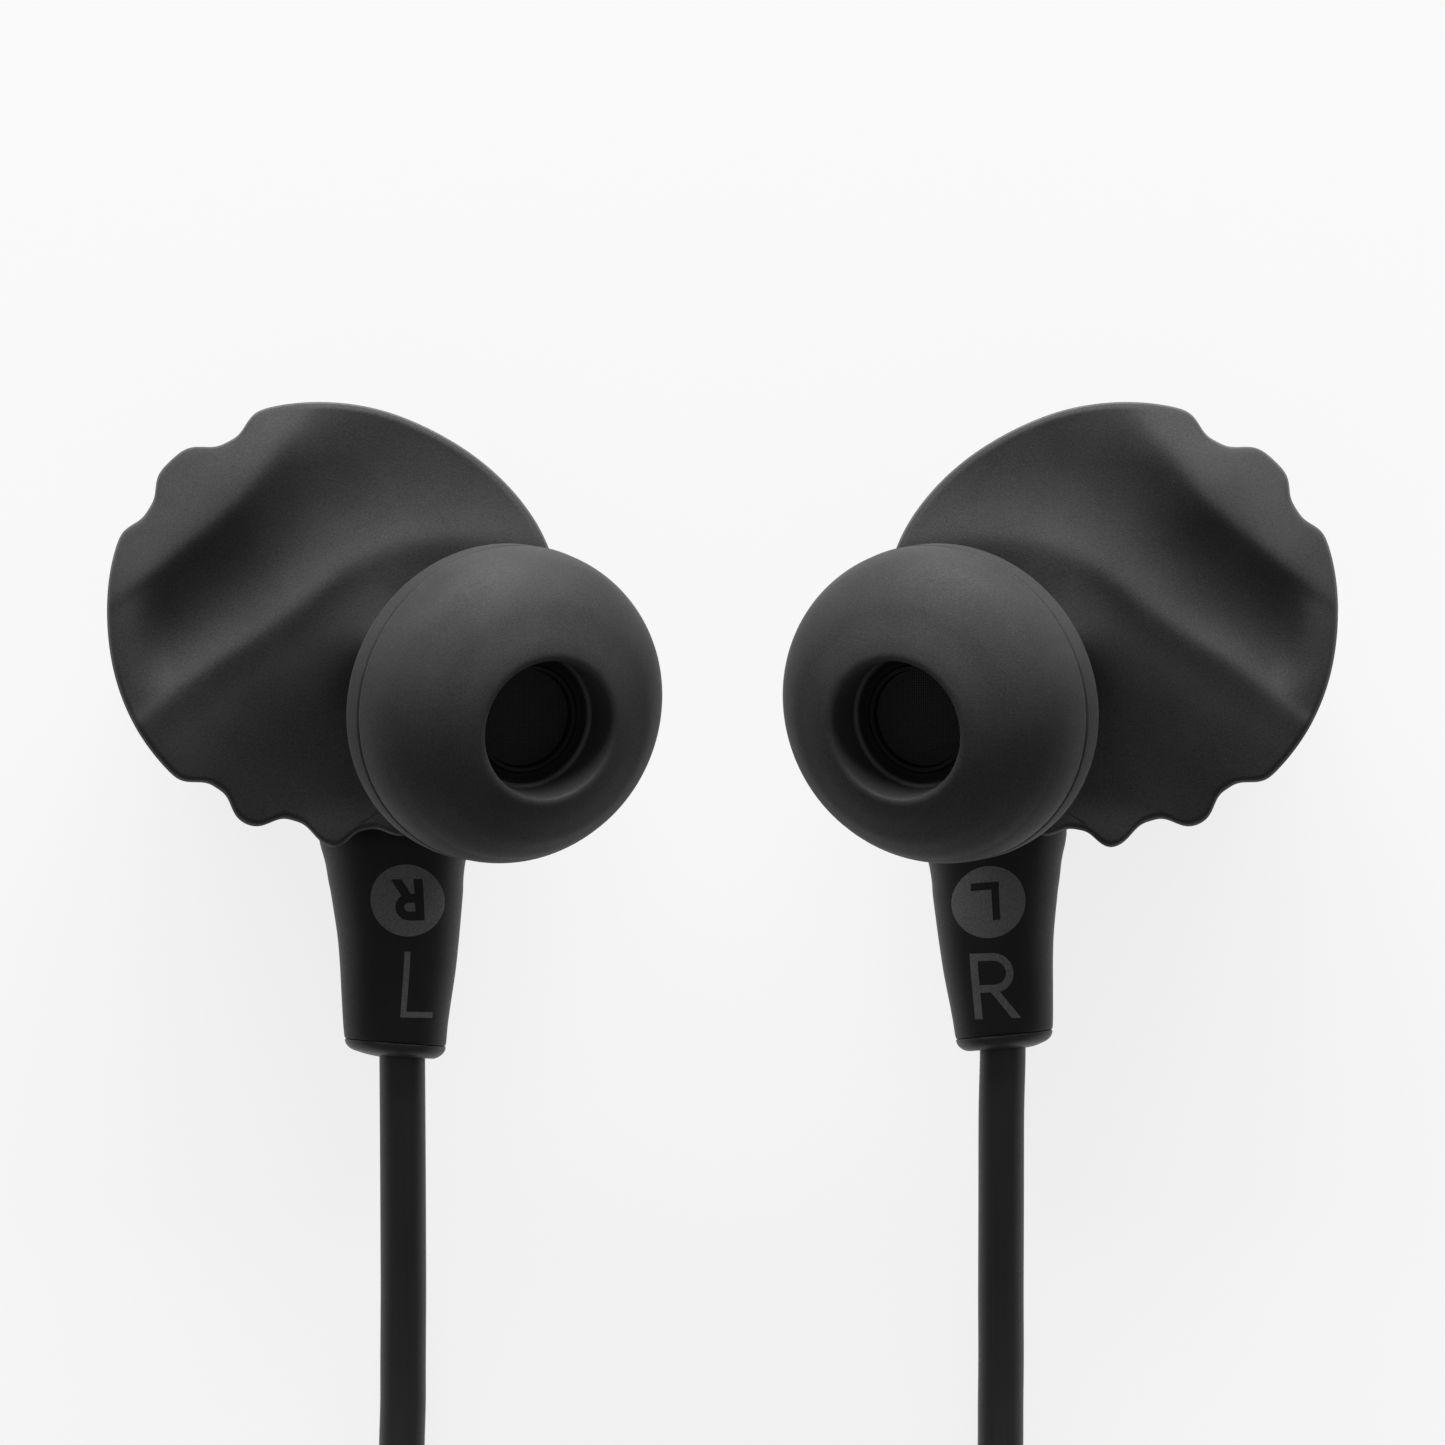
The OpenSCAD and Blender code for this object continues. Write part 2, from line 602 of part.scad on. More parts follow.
// One insulated wire from the crimp up the stem and over to the terminal board; the wire
// on the outside of the turn, k = 1, lands on the far side
module lead_wire(side, k) {
    start = stem_len(side) - end_t - crimp_gap - crimp_h;
    lean = stem_lean(side);
    half = k * wire_pitch / 2;
    x = stem_offset(side) + half;
    y = k * wire_spread - stem_pivot;
    foot = [-k * wire_pitch, board_y + 0.35, frame_z - board.z];
    tube([[x + start * sin(lean), half * sin(lean) - stem_pivot - start * cos(lean), stem_z],
        [x + sin(lean), -stem_pivot - 1, stem_z], [mix(x, foot.x, 0.12), y, stem_z + 0.1],
        [mix(x, foot.x, 0.8), y, foot.z - 0.9], foot - [0, 0, 0.3], foot],
        wire_r, COIL_SIDES, [-sin(lean), cos(lean), 0], [0, 0, 1], [1, 1, 0]);
}

module lead_wires(side) {
    color("#b33a2e") for (k = [-1, 1]) lead_wire(side, k);
}

// ---------- cords ----------

crimp_face = end_t + crimp_gap;
function stem_axis(side) = unit(stem_point(side, 1) - stem_point(side, 0));
function start_points(side) = [for (h = [crimp_face, 0.3])
    stem_point(side, stem_len(side) - h)];

module free_cord(side, route, entry_x) {
    tube(concat(start_points(side), route, [[entry_x, coil_y + branch_d, branch_base]]),
        branch_r, CORD_SIDES, stem_axis(side), [0, -1, 0]);
}

module left_cord() {
    color("#2b2c2f") free_cord(LEFT, LEFT_ROUTE, left_entry_x);
}

module right_cord() {
    color("#2b2c2f") free_cord(RIGHT, RIGHT_ROUTE, right_entry_x);
}

// From the coil's end to the splitter; way is -1 on the left and 1 on the right
module merge_cord(way, entry_x) {
    inlet = middle_x + way * inlet_x;
    route = [for (p = MERGE_ROUTE) [middle_x + way * p[0], p[1], p[2]]];
    color("#2b2c2f") tube(concat([[entry_x, coil_y - branch_d, branch_top]], route,
        [[inlet, splitter_y, splitter_z], [inlet, splitter_y - channel_l, splitter_z]]),
        branch_r, CORD_SIDES, [0, -1, 0], [0, -1, 0]);
}

module main_cord() {
    start = splitter_end + channel_l;
    color("#2b2c2f") tube(concat([[middle_x, start, splitter_z], [middle_x, splitter_end, splitter_z]],
        MAIN_ROUTE, [[middle_x, main_coil_y + main_d, main_base]]),
        main_r, CORD_SIDES, [0, -1, 0], [0, -1, 0]);
}

module plug_cord() {
    color("#2b2c2f") tube(concat([main_coil_points[len(main_coil_points) - 1]], PLUG_ROUTE,
        [[plug_x, plug_y, boot_r], [plug_x, plug_y - channel_l, boot_r]]),
        main_r, CORD_SIDES, [-1, 0, 0], [0, -1, 0]);
}

// Radius and rise of a piled coil after t turns: in and out at a steady rate, and up a layer
// in the half turn where the spiral reverses
function pile(t, r, turns, layers, pitch) =
    let (period = turns + 0.5,
         k = min(layers - 1, floor(t / period + 0.0001)),
         f = t - k * period,
         inner = r - pitch * turns,
         inward = k % 2 == 0,
         g = max(0, (f - turns) / 0.5),
         dip = pitch / 4 * (1 - abs(2 * g - 1)))
    f <= turns
        ? [inward ? r - pitch * f : inner + pitch * f, k * pitch]
        : [inward ? inner - dip : r + dip, (k + g * g * (3 - 2 * g)) * pitch];

// Points along a coil that comes in along -Y and leaves along its last turn, which is cut short
// by a share of a turn; way 1 winds to the left, -1 to the right
function coil_points(entry, r, d, turns, layers, pitch, way, cut) =
    let (total = layers * turns + (layers - 1) * 0.5 - cut,
         steps = round(total * TURN_RINGS),
         centre = entry + [way * r, 0, 0],
         first = way > 0 ? 180 : 0,
         last = first + way * 360 * total,
         turned = [for (i = [0 : steps])
             let (t = i / TURN_RINGS, rz = pile(t, r, turns, layers, pitch), a = first + way * 360 * t)
             centre + [rz[0] * cos(a), rz[0] * sin(a), rz[1]]])
    concat([entry + [0, d, 0]], turned, [turned[steps] + way * d * [-sin(last), cos(last), 0]]);

left_coil_points = coil_points([left_entry_x, coil_y, branch_base], branch_coil_r, branch_d,
    BRANCH_TURNS, BRANCH_LAYERS, branch_pitch, -1, 0);
right_coil_points = coil_points([right_entry_x, coil_y, branch_base], branch_coil_r, branch_d,
    BRANCH_TURNS, BRANCH_LAYERS, branch_pitch, 1, 0);
main_coil_points = coil_points([middle_x, main_coil_y, main_base], main_coil_r, main_d,
    MAIN_TURNS, MAIN_LAYERS, main_pitch, 1, MAIN_CUT);

module coil(points, d) {
    last = len(points) - 1;
    color("#2b2c2f") tube(points, d / 2, COIL_SIDES, [0, -1, 0], unit(points[last] - points[last - 1]));
}

// Corners of a rectangle, rounded by r beyond its four points
function rounded(x0, x1, z0, z1, r) = [for (c = [[x1, z1, 0], [x0, z1, 90], [x0, z0, 180], [x1, z0, 270]])
    for (a = [0 : 22.5 : 90]) [c[0] + r * cos(c[2] + a), c[1] + r * sin(c[2] + a)]];

// A strap round the far side of a coil, where its turns lie straight above one another
module coil_tie(entry, r, d, turns, layers, pitch, way) {
    slack = 0.2;
    head = [3, tie_w + 0.6, 0.9];
    outer = r - pitch * min(0.5, 2 * turns - floor(2 * turns));
    inner = r - pitch * (ceil(turns) - 0.5) - slack;
    top = entry.z + (layers - 1) * pitch;
    turn_r = d / 2 + fit;
    color("#3a3b3e") translate([entry.x + way * r, entry.y, 0]) rotate([0, 0, way > 0 ? 0 : 180]) {
        rotate([90, 0, 0]) linear_extrude(tie_w, center = true) difference() {
            polygon(rounded(inner, outer, entry.z, top, turn_r + tie_t));
            polygon(rounded(inner, outer, entry.z, top, turn_r));
        }
        translate([(inner + outer - head.x) / 2, -head.y / 2, top + turn_r + tie_t / 2]) cube(head);
    }
}

module branch_coil_tie(entry_x, way) {
    coil_tie([entry_x, coil_y, branch_base], branch_coil_r, branch_d, BRANCH_TURNS, BRANCH_LAYERS,
        branch_pitch, way);
}

module main_coil_tie() {
    coil_tie([middle_x, main_coil_y, main_base], main_coil_r, main_d, MAIN_TURNS, MAIN_LAYERS,
        main_pitch, 1);
}

// Least gap of a coil to itself, and lengths
function least_gap(points, d) = min([for (i = [0 : len(points) - 1])
    for (j = [i + 7 : 1 : len(points) - 1]) norm(points[i] - points[j])]) - d;
function path_len(points) = len(points) < 2 ? 0
    : [for (i = [1 : len(points) - 1]) norm(points[i] - points[i - 1])]
      * [for (i = [1 : len(points) - 1]) 1];
union() {
    echo(branch_coil_gap = least_gap(left_coil_points, branch_d));
    echo(main_coil_gap = least_gap(main_coil_points, main_d));
    echo(branch_coil_length = path_len(left_coil_points), main_coil_length = path_len(main_coil_points));
    echo(left_free = path_len(concat(start_points(LEFT), LEFT_ROUTE,
        [[left_entry_x, coil_y + branch_d, branch_base]])));
    echo(plug_free = path_len(concat([main_coil_points[len(main_coil_points) - 1]], PLUG_ROUTE,
        [[plug_x, plug_y, boot_r]])));
}

// ---------- splitter and plug ----------

// The whole splitter with its channels, before it is cut into halves
module splitter_body() {
    edge = 0.6;
    half = splitter_w / 2;
    translate([middle_x, splitter_y, 0]) difference() {
        rotate([90, 0, 0]) linear_extrude(splitter_l) polygon([[edge - half, 0], [half - edge, 0],
            [half, edge], [half, splitter_h - edge], [half - edge, splitter_h],
            [edge - half, splitter_h], [-half, splitter_h - edge], [-half, edge]]);
        for (x = [-inlet_x, inlet_x]) translate([x, 1, splitter_z]) rotate([90, 0, 0])
            cylinder(r = branch_r + fit, h = channel_l + 1);
        translate([0, -splitter_l + channel_l, splitter_z]) rotate([90, 0, 0])
            cylinder(r = main_r + fit, h = channel_l + 1);
    }
}

module splitter_half(z) {
    color("#232427") intersection() {
        splitter_body();
        translate([middle_x - 10, splitter_end - 1, z]) cube([20, splitter_l + 2, splitter_z]);
    }
}

// The frame of the plug: Z along its pin, from the boot's rear
module on_plug() {
    translate([plug_x, plug_y, boot_r]) rotate([90, 0, 0]) children();
}

module plug_boot() {
    neck = 1.6;
    relief = 0.4 * boot_l;
    edge = 0.4;
    color("#232427") on_plug() difference() {
        rotate_extrude() polygon([[0, 0], [neck, 0], [boot_r - edge, relief], [boot_r, relief + edge],
            [boot_r, boot_l - edge], [boot_r - edge, boot_l], [0, boot_l]]);
        translate([0, 0, -1]) cylinder(r = main_r + fit, h = channel_l + 1);
        translate([0, 0, boot_l - anchor_l]) cylinder(r = anchor_r + fit, h = anchor_l + 1);
    }
}

// Contacts along the pin, counted from the boot's front
anchor_l = 4;
anchor_r = pin_r + 0.35;
sleeve_l = 0.52 * pin_l;
ring_l = 0.17 * pin_l;
gap_l = 0.04 * pin_l;
ring_s = sleeve_l + gap_l;
tip_s = ring_s + ring_l + gap_l;
core_r = pin_r * 0.3;
liner_r = pin_r * 0.5;

module plug_sleeve() {
    color("#c8c9cb") on_plug() difference() {
        union() {
            translate([0, 0, boot_l - anchor_l]) cylinder(r = anchor_r, h = anchor_l);
            translate([0, 0, boot_l - 0.5]) cylinder(r = pin_r, h = sleeve_l + 0.5);
        }
        translate([0, 0, boot_l - anchor_l - 1]) cylinder(r = liner_r + fit, h = anchor_l + sleeve_l + 2);
    }
}

module plug_ring() {
    color("#c8c9cb") on_plug() difference() {
        translate([0, 0, boot_l + ring_s]) cylinder(r = pin_r, h = ring_l);
        translate([0, 0, boot_l + ring_s - 1]) cylinder(r = liner_r + fit, h = ring_l + 2);
    }
}

module plug_tip() {
    waist = pin_r * 0.72;
    head = boot_l + tip_s;
    end = boot_l + pin_l;
    color("#c8c9cb") on_plug() rotate_extrude() polygon([[0, boot_l - anchor_l], [core_r, boot_l - anchor_l],
        [core_r, head], [pin_r, head], [pin_r, head + 0.5], [waist, head + 1], [pin_r * 0.97, head + 1.7],
        [pin_r * 0.4, end], [0, end]]);
}

module plug_insulators() {
    reach = anchor_l + tip_s;
    color("#e4e4e0") on_plug() difference() {
        union() {
            translate([0, 0, boot_l - anchor_l]) cylinder(r = liner_r, h = reach);
            for (s = [sleeve_l, ring_s + ring_l]) translate([0, 0, boot_l + s]) cylinder(r = pin_r, h = gap_l);
        }
        translate([0, 0, boot_l - anchor_l - 1]) cylinder(r = core_r + fit, h = reach + 2);
    }
}

bud(LEFT) ear_tip();  // left_ear_tip
bud(LEFT) ear_sleeve();  // left_ear_sleeve
bud(LEFT) front_shell();  // left_front_shell
bud(LEFT) nozzle_mesh();  // left_nozzle_mesh
bud(LEFT) driver_grille();  // left_driver_grille
bud(LEFT) diaphragm();  // left_diaphragm
bud(LEFT) voice_coil();  // left_voice_coil
bud(LEFT) driver_frame();  // left_driver_frame
bud(LEFT) top_plate();  // left_top_plate
bud(LEFT) magnet();  // left_magnet
bud(LEFT) yoke();  // left_yoke
bud(LEFT) terminal_board();  // left_terminal_board
bud(LEFT) back_shell(LEFT);  // left_back_shell
bud(LEFT) back_cover();  // left_back_cover
bud(LEFT) stem(LEFT);  // left_stem
bud(LEFT) stem_end(LEFT);  // left_stem_end
bud(LEFT) cord_crimp(LEFT);  // left_cord_crimp
bud(LEFT) lead_wires(LEFT);  // left_lead_wires
bud(RIGHT) ear_tip();  // right_ear_tip
bud(RIGHT) ear_sleeve();  // right_ear_sleeve
bud(RIGHT) front_shell();  // right_front_shell
bud(RIGHT) nozzle_mesh();  // right_nozzle_mesh
bud(RIGHT) driver_grille();  // right_driver_grille
bud(RIGHT) diaphragm();  // right_diaphragm
bud(RIGHT) voice_coil();  // right_voice_coil
bud(RIGHT) driver_frame();  // right_driver_frame
bud(RIGHT) top_plate();  // right_top_plate
bud(RIGHT) magnet();  // right_magnet
bud(RIGHT) yoke();  // right_yoke
bud(RIGHT) terminal_board();  // right_terminal_board
bud(RIGHT) back_shell(RIGHT);  // right_back_shell
bud(RIGHT) back_cover();  // right_back_cover
bud(RIGHT) stem(RIGHT);  // right_stem
bud(RIGHT) stem_end(RIGHT);  // right_stem_end
bud(RIGHT) cord_crimp(RIGHT);  // right_cord_crimp
bud(RIGHT) lead_wires(RIGHT);  // right_lead_wires
left_cord();
coil(left_coil_points, branch_d);  // left_coil
merge_cord(-1, left_entry_x);  // left_merge_cord
right_cord();
coil(right_coil_points, branch_d);  // right_coil
merge_cord(1, right_entry_x);  // right_merge_cord
branch_coil_tie(left_entry_x, -1);  // left_coil_tie
branch_coil_tie(right_entry_x, 1);  // right_coil_tie
main_coil_tie();
splitter_half(0);  // splitter_lower
splitter_half(splitter_z);  // splitter_upper
main_cord();
coil(main_coil_points, main_d);  // main_coil
plug_cord();
plug_boot();
plug_sleeve();
plug_ring();
plug_tip();
plug_insulators();
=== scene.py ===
"""Looks of a pair of wired in-ear earphones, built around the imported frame.

Lengths are worked out in millimetres and put into the meshes in metres. Both buds are made
from one shape: the left one as worked out, the right one as its mirror image across x = 0.
"""

import math

import bmesh
import bpy
import numpy as np
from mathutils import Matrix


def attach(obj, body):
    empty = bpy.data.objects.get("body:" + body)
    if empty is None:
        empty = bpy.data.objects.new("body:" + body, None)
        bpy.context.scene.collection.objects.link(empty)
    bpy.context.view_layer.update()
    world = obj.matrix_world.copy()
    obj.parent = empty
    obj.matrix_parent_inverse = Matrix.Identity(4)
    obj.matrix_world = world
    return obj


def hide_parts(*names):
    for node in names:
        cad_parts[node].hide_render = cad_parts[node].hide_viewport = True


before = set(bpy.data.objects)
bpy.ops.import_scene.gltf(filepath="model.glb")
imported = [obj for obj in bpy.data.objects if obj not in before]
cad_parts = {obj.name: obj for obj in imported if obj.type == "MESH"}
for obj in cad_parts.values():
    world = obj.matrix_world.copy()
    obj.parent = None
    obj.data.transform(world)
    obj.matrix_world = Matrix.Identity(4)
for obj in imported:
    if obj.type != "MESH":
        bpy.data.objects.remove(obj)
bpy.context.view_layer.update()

bl_info = {
    "name": "Wired earphones",
    "version": (1, 0, 0),
    "blender": (4, 5, 0),
    "location": "3D View > Sidebar > Earphones",
    "description": "Builds the skins, cords and finishes of a pair of wired earphones",
    "category": "Add Mesh",
}

MM = 0.001
LEFT, RIGHT = -1, 1
SIDES = ((LEFT, "left"), (RIGHT, "right"))

# Where a bud stands, and its nozzle: the root's distance from the bud's axis and its height, the
# root itself, and the nozzle's turn and tilt
BUD_X, BUD_Y = 15.27, 4.13
NOZZLE_OFFSET, ROOT_Z = 4.5, 8.0
ROOT = np.array([4.0616, -1.9373, ROOT_Z])
TURN, TILT = math.radians(-25.5), math.radians(28.5)
# Stem: offset from the bud's axis, lean in degrees, length from the pivot, by side
STEMS = {LEFT: (2.38, 0.5, 13.35), RIGHT: (4.8, -2.4, 13.052)}
STEM_PIVOT, STEM_Z = -3.5, 2.9
# Length of the end piece beyond the stem's parting line
STEM_END = 0.5
# How far the stem's parting line dips to one side
PARTING_DIP = {LEFT: 0.17, RIGHT: 0.11}
# The stem's width against its plain profile, and how far the cord leaves it off its axis
STEM_WIDE, CORD_OFF = {LEFT: 1.02, RIGHT: 0.967}, {LEFT: 0.2, RIGHT: 0.0}
# Cords: the line they meet on, where they enter their coils, and the splitter's far end
MIDDLE_X = -0.75
ENTRY_X = {LEFT: -2.0, RIGHT: 0.5}
COIL_Y, MAIN_COIL_Y = -50.0, -79.5
SPLITTER_END, SPLITTER_Z = -68.0, 1.7
# Coils: radius, turns, layers and pitch
BRANCH_COIL, MAIN_COIL = (12.0, 2.75, 2, 2.25), (13.25, 2.625, 4, 2.45)
# How finely curves are cut: points per stretch of a route and per turn of a coil, and sides
ROUTE_STEPS, COIL_STEPS = 12, 48
CORD_SIDES, TIP_SIDES, STEM_SIDES, SLEEVE_SIDES = 20, 160, 96, 432


# ---------- shapes ----------

def grid_quads(rows, cols, round_rows=False, round_cols=False):
    """Quads between neighbours of a grid of points, which may close on itself either way."""
    r = np.arange(rows if round_rows else rows - 1)[:, None]
    c = np.arange(cols if round_cols else cols - 1)[None, :]
    r2, c2 = (r + 1) % rows, (c + 1) % cols
    return np.stack([r * cols + c, r * cols + c2, r2 * cols + c2, r2 * cols + c], -1).reshape(-1, 4)


def join_parts(parts):
    """Points and quads of several shapes as one list of each."""
    points = np.concatenate([p for p, _ in parts])
    starts = np.cumsum([0] + [len(p) for p, _ in parts[:-1]])
    return points, np.concatenate([f + s for (_, f), s in zip(parts, starts)])


def add_piece(name, points, quads, material, body="earphones", replaces=(),
              sharp=40, marks=None):
    """A mesh of points in millimetres, its doubles merged and its faces turned outwards by the
    sign of its volume. marks are named numbers on the points, which a material may read."""
    mesh = bpy.data.meshes.new(name)
    mesh.from_pydata((np.asarray(points, float) * MM).tolist(), [], np.asarray(quads).tolist())
    for key, values in (marks or {}).items():
        layer = mesh.attributes.new(key, "FLOAT", "POINT")
        layer.data.foreach_set("value", np.asarray(values, np.float32).ravel())
    shape = bmesh.new()
    shape.from_mesh(mesh)
    bmesh.ops.remove_doubles(shape, verts=shape.verts, dist=2e-7)
    bmesh.ops.dissolve_degenerate(shape, edges=shape.edges, dist=1e-7)
    if shape.calc_volume(signed=True) < 0:
        bmesh.ops.reverse_faces(shape, faces=shape.faces)
    shape.to_mesh(mesh)
    shape.free()
    mesh.shade_smooth()
    mesh.set_sharp_from_angle(angle=math.radians(sharp))
    piece = bpy.data.objects.new(name, mesh)
    bpy.context.scene.collection.objects.link(piece)
    mesh.materials.append(material)
    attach(piece, body)
    if replaces:
        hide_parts(*replaces)
    return piece


def smooth_line(points, steps):
    """A Catmull-Rom curve: each stretch is the cubic through its ends whose slopes there are half
    the step between the neighbours."""
    p = np.asarray(points, float)
    p = np.concatenate([[2 * p[0] - p[1]], p, [2 * p[-1] - p[-2]]])
    t = (np.arange(steps) / steps)[None, :, None]
    a, b, c, d = (p[i : len(p) - 3 + i][:, None] for i in range(4))
    line = 0.5 * (2 * b + (c - a) * t + (2 * a - 5 * b + 4 * c - d) * t**2
                  + (3 * b - a - 3 * c + d) * t**3)
    return np.concatenate([line.reshape(-1, p.shape[1]), p[-2][None]])


def length_along(line):
    """The length of a line up to each of its points."""
    return np.concatenate([[0], np.cumsum(np.linalg.norm(np.diff(line, axis=0), axis=1))])


def heading(line):
    """The direction of a line at each of its points, as a step of length 1."""
    ahead = np.gradient(line, axis=0)
    return ahead / np.linalg.norm(ahead, axis=1)[:, None]


def directions(n):
    """Angles evenly round a circle, from 0."""
    return np.linspace(0, 2 * math.pi, n, endpoint=False)


def rotate(x, y, angle):
    """Points turned about the origin by an angle, against the clock."""
    c, s = math.cos(angle), math.sin(angle)
    return x * c - y * s, x * s + y * c


def even_steps(line, step):
    """The same line with its points an even distance apart."""
    along = length_along(line)
    want = np.linspace(0, along[-1], max(2, int(round(along[-1] / step)) + 1))
    return np.stack([np.interp(want, along, line[:, i]) for i in range(line.shape[1])], -1)


def ring_frames(line):
    """Two directions square to the line at each of its points. The first starts from the vertical
    and is carried on with the least turn."""
    ahead = heading(line)
    across = np.zeros_like(ahead)
    side = np.cross(ahead[0], [0, 0, 1])
    for i, a in enumerate(ahead):
        side = side - a * (side @ a)
        side /= np.linalg.norm(side)
        across[i] = side
    return across, np.cross(ahead, across)


def closed_rings(rings, middles=None):
    """Rings with a point at the middle of each end, so that the ends are closed. A middle is the
    mean of its ring where none is given."""
    middles = middles or (rings[0].mean(0), rings[-1].mean(0))
    first, last = (np.repeat(m[None, None], rings.shape[1], 1) for m in middles)
    rings = np.concatenate([first, rings, last])
    return rings.reshape(-1, 3), grid_quads(len(rings), rings.shape[1], round_cols=True)


def tube(line, radius, sides):
    """A round tube along a line with both ends closed, and the part round and the length along of
    each of its points."""
    across, up = ring_frames(line)
    a = directions(sides)
    cos, sin = np.cos(a)[:, None], np.sin(a)[:, None]
    rings = line[:, None] + radius * (across[:, None] * cos + up[:, None] * sin)
    along = length_along(line)
    along = np.concatenate([[0], along, [along[-1]]])
    return (*closed_rings(rings, (line[0], line[-1])), np.tile(a, len(along)),
            np.repeat(along, sides))


def on_side(side, points):
    """Points of the left bud where they are, or their mirror image for the right one."""
    points = np.array(points, float)
    points[..., 0] *= -side
    return points


def bud_place(points):
    """From a bud's own frame to the left bud's place on the table."""
    return points + np.array([-BUD_X, BUD_Y, 0.0])


def soft_step(v):
    """From 0 at 0 to 1 at 1, level at both ends."""
    v = np.clip(v, 0, 1)
    return v * v * (3 - 2 * v)


def lower_of(a, b, blend):
    """The lower of two numbers, with the crease where they cross rounded off."""
    return (a + b - np.sqrt((a - b) ** 2 + blend**2)) / 2


NOZZLE_AXIS = np.array([math.sin(TILT) * math.cos(TURN), math.sin(TILT) * math.sin(TURN),
                        math.cos(TILT)])
NOZZLE_DOWN = np.array([math.cos(TILT) * math.cos(TURN), math.cos(TILT) * math.sin(TURN),
                        -math.sin(TILT)])
NOZZLE_SIDE = np.array([-math.sin(TURN), math.cos(TURN), 0.0])


def round_nozzle(profile, sides):
    """A closed profile of (distance along the nozzle, radius) turned round the nozzle's axis."""
    profile = np.asarray(profile, float)
    a = directions(sides)[None, :, None]
    s, r = profile[:, 0][:, None, None], profile[:, 1][:, None, None]
    points = ROOT + NOZZLE_AXIS * s + r * (NOZZLE_DOWN * np.cos(a) + NOZZLE_SIDE * np.sin(a))
    return bud_place(points.reshape(-1, 3)), grid_quads(len(profile), sides, True, True)


# ---------- finishes ----------

class Nodes:
    """A tree of shader nodes, to which nodes are added with their inputs set or linked."""

    def __init__(self, owner):
        owner.use_nodes = True
        self.tree = owner.node_tree

    def put(self, node, key, value):
        """Sets an input of a node, or links it where the value is another node's output."""
        if isinstance(value, bpy.types.NodeSocket):
            self.tree.links.new(value, node.inputs[key])
        else:
            node.inputs[key].default_value = value

    def add(self, kind, inputs=None, **settings):
        """A new node of a kind, with its settings and inputs."""
        node = self.tree.nodes.new(kind)
        for key, value in settings.items():
            setattr(node, key, value)
        for key, value in (inputs or {}).items():
            self.put(node, key, value)
        return node

    def math(self, operation, *values):
        """The outcome of an operation on numbers or outputs."""
        return self.add("ShaderNodeMath", dict(enumerate(values)), operation=operation).outputs[0]


class Finish(Nodes):
    """A Principled material whose patterns are added node by node."""

    def __init__(self, name, colour, roughness, **sockets):
        self.material = bpy.data.materials.new(name)
        super().__init__(self.material)
        self.shader = self.tree.nodes["Principled BSDF"]
        self.colour = (*colour, 1)
        self.put(self.shader, "Base Color", self.colour)
        self.put(self.shader, "Roughness", roughness)
        for key, value in sockets.items():
            self.put(self.shader, key.replace("_", " "), value)
        self.place = self.add("ShaderNodeTexCoord").outputs["Object"]

    def mark(self, name):
        """A mark that the points carry."""
        return self.add("ShaderNodeAttribute", attribute_name=name).outputs["Fac"]

    def noise(self, scale, detail=3, place=None):
        """An uneven pattern, with about as many grains to the unit as its scale."""
        return self.add("ShaderNodeTexNoise", {"Vector": place or self.place, "Scale": scale,
                                               "Detail": detail, "Roughness": 0.55}).outputs["Fac"]

    def spread(self, value, low, high, start=0.3, end=0.7):
        """A pattern's value drawn out to run from low to high."""
        return self.add("ShaderNodeMapRange", {"Value": value, "From Min": start, "From Max": end,
                                               "To Min": low, "To Max": high}).outputs["Result"]

    def shade(self, value, low, high, start=0.3, end=0.7):
        """The colour varies with a pattern, from low to high times what it is."""
        dark, light = ((*[c * level for c in self.colour[:3]], 1) for level in (low, high))
        mix = self.add("ShaderNodeMix", {0: self.spread(value, 0, 1, start, end), 6: dark,
                                         7: light}, data_type="RGBA")
        self.put(self.shader, "Base Color", mix.outputs[2])
        return self

    def rough(self, value, low, high, start=0.3, end=0.7):
        """The roughness varies with a pattern, from low to high."""
        self.put(self.shader, "Roughness", self.spread(value, low, high, start, end))
        return self

    def bump(self, value, height):
        """The pattern stands up by that height in millimetres."""
        node = self.add("ShaderNodeBump", {"Strength": 1.0, "Distance": height * MM,
                                           "Height": value})
        self.put(self.shader, "Normal", node.outputs["Normal"])
        return self


# Noise scales of a skin's broad clouds, fine specks and grain, and how far its tone varies
CLOUDS, SPECKS, GRAIN = 260, 15000, 9000
TONE = (0.74, 1.26)
# How much shinier a skin is along its mould's edge, and how far the edge mark scales its colour
# there: paler as a painted highlight where the mark is above zero, darker as painted shade where it
# is below
EDGE_SHINE, EDGE_PAINTED_LIGHT = 0.3, 1.5


def moulded(name, colour, roughness, grain=GRAIN, height=0.006, edge=None, **sockets):
    """A moulded skin: fine specks and faint broad clouds in its colour, a fine even grain and
    slightly uneven gloss. Along the mould's edge, where a mark gives one, it is shinier and painted
    paler as a highlight, and where the mark is below zero, duller and painted darker as shade."""
    f = Finish(name, colour, roughness, **sockets)
    fine, broad, specks = f.noise(grain, 4), f.noise(CLOUDS, 3), f.noise(SPECKS, 2)
    both = f.math("ADD", f.math("MULTIPLY", broad, 0.4), f.math("MULTIPLY", specks, 0.6))
    f.shade(both, *TONE, 0.38, 0.62).rough(fine, roughness - 0.05, roughness + 0.06)
    if edge:
        level = f.shader.inputs["Roughness"].links[0].from_socket
        shine = f.math("MULTIPLY", f.mark(edge), EDGE_SHINE)
        f.put(f.shader, "Roughness", f.math("SUBTRACT", level, shine))
        skin = f.shader.inputs["Base Color"].links[0].from_socket
        # painted light: the edge mark pales the colour as a highlight, and below zero darkens it as
        # shade
        tone = f.math("ADD", f.math("MULTIPLY", f.mark(edge), EDGE_PAINTED_LIGHT), 1.0)
        painted_light_colour = f.add("ShaderNodeVectorMath", {0: skin, "Scale": tone}, operation="SCALE")
        f.put(f.shader, "Base Color", painted_light_colour.outputs[0])
    return f.bump(fine, height).material


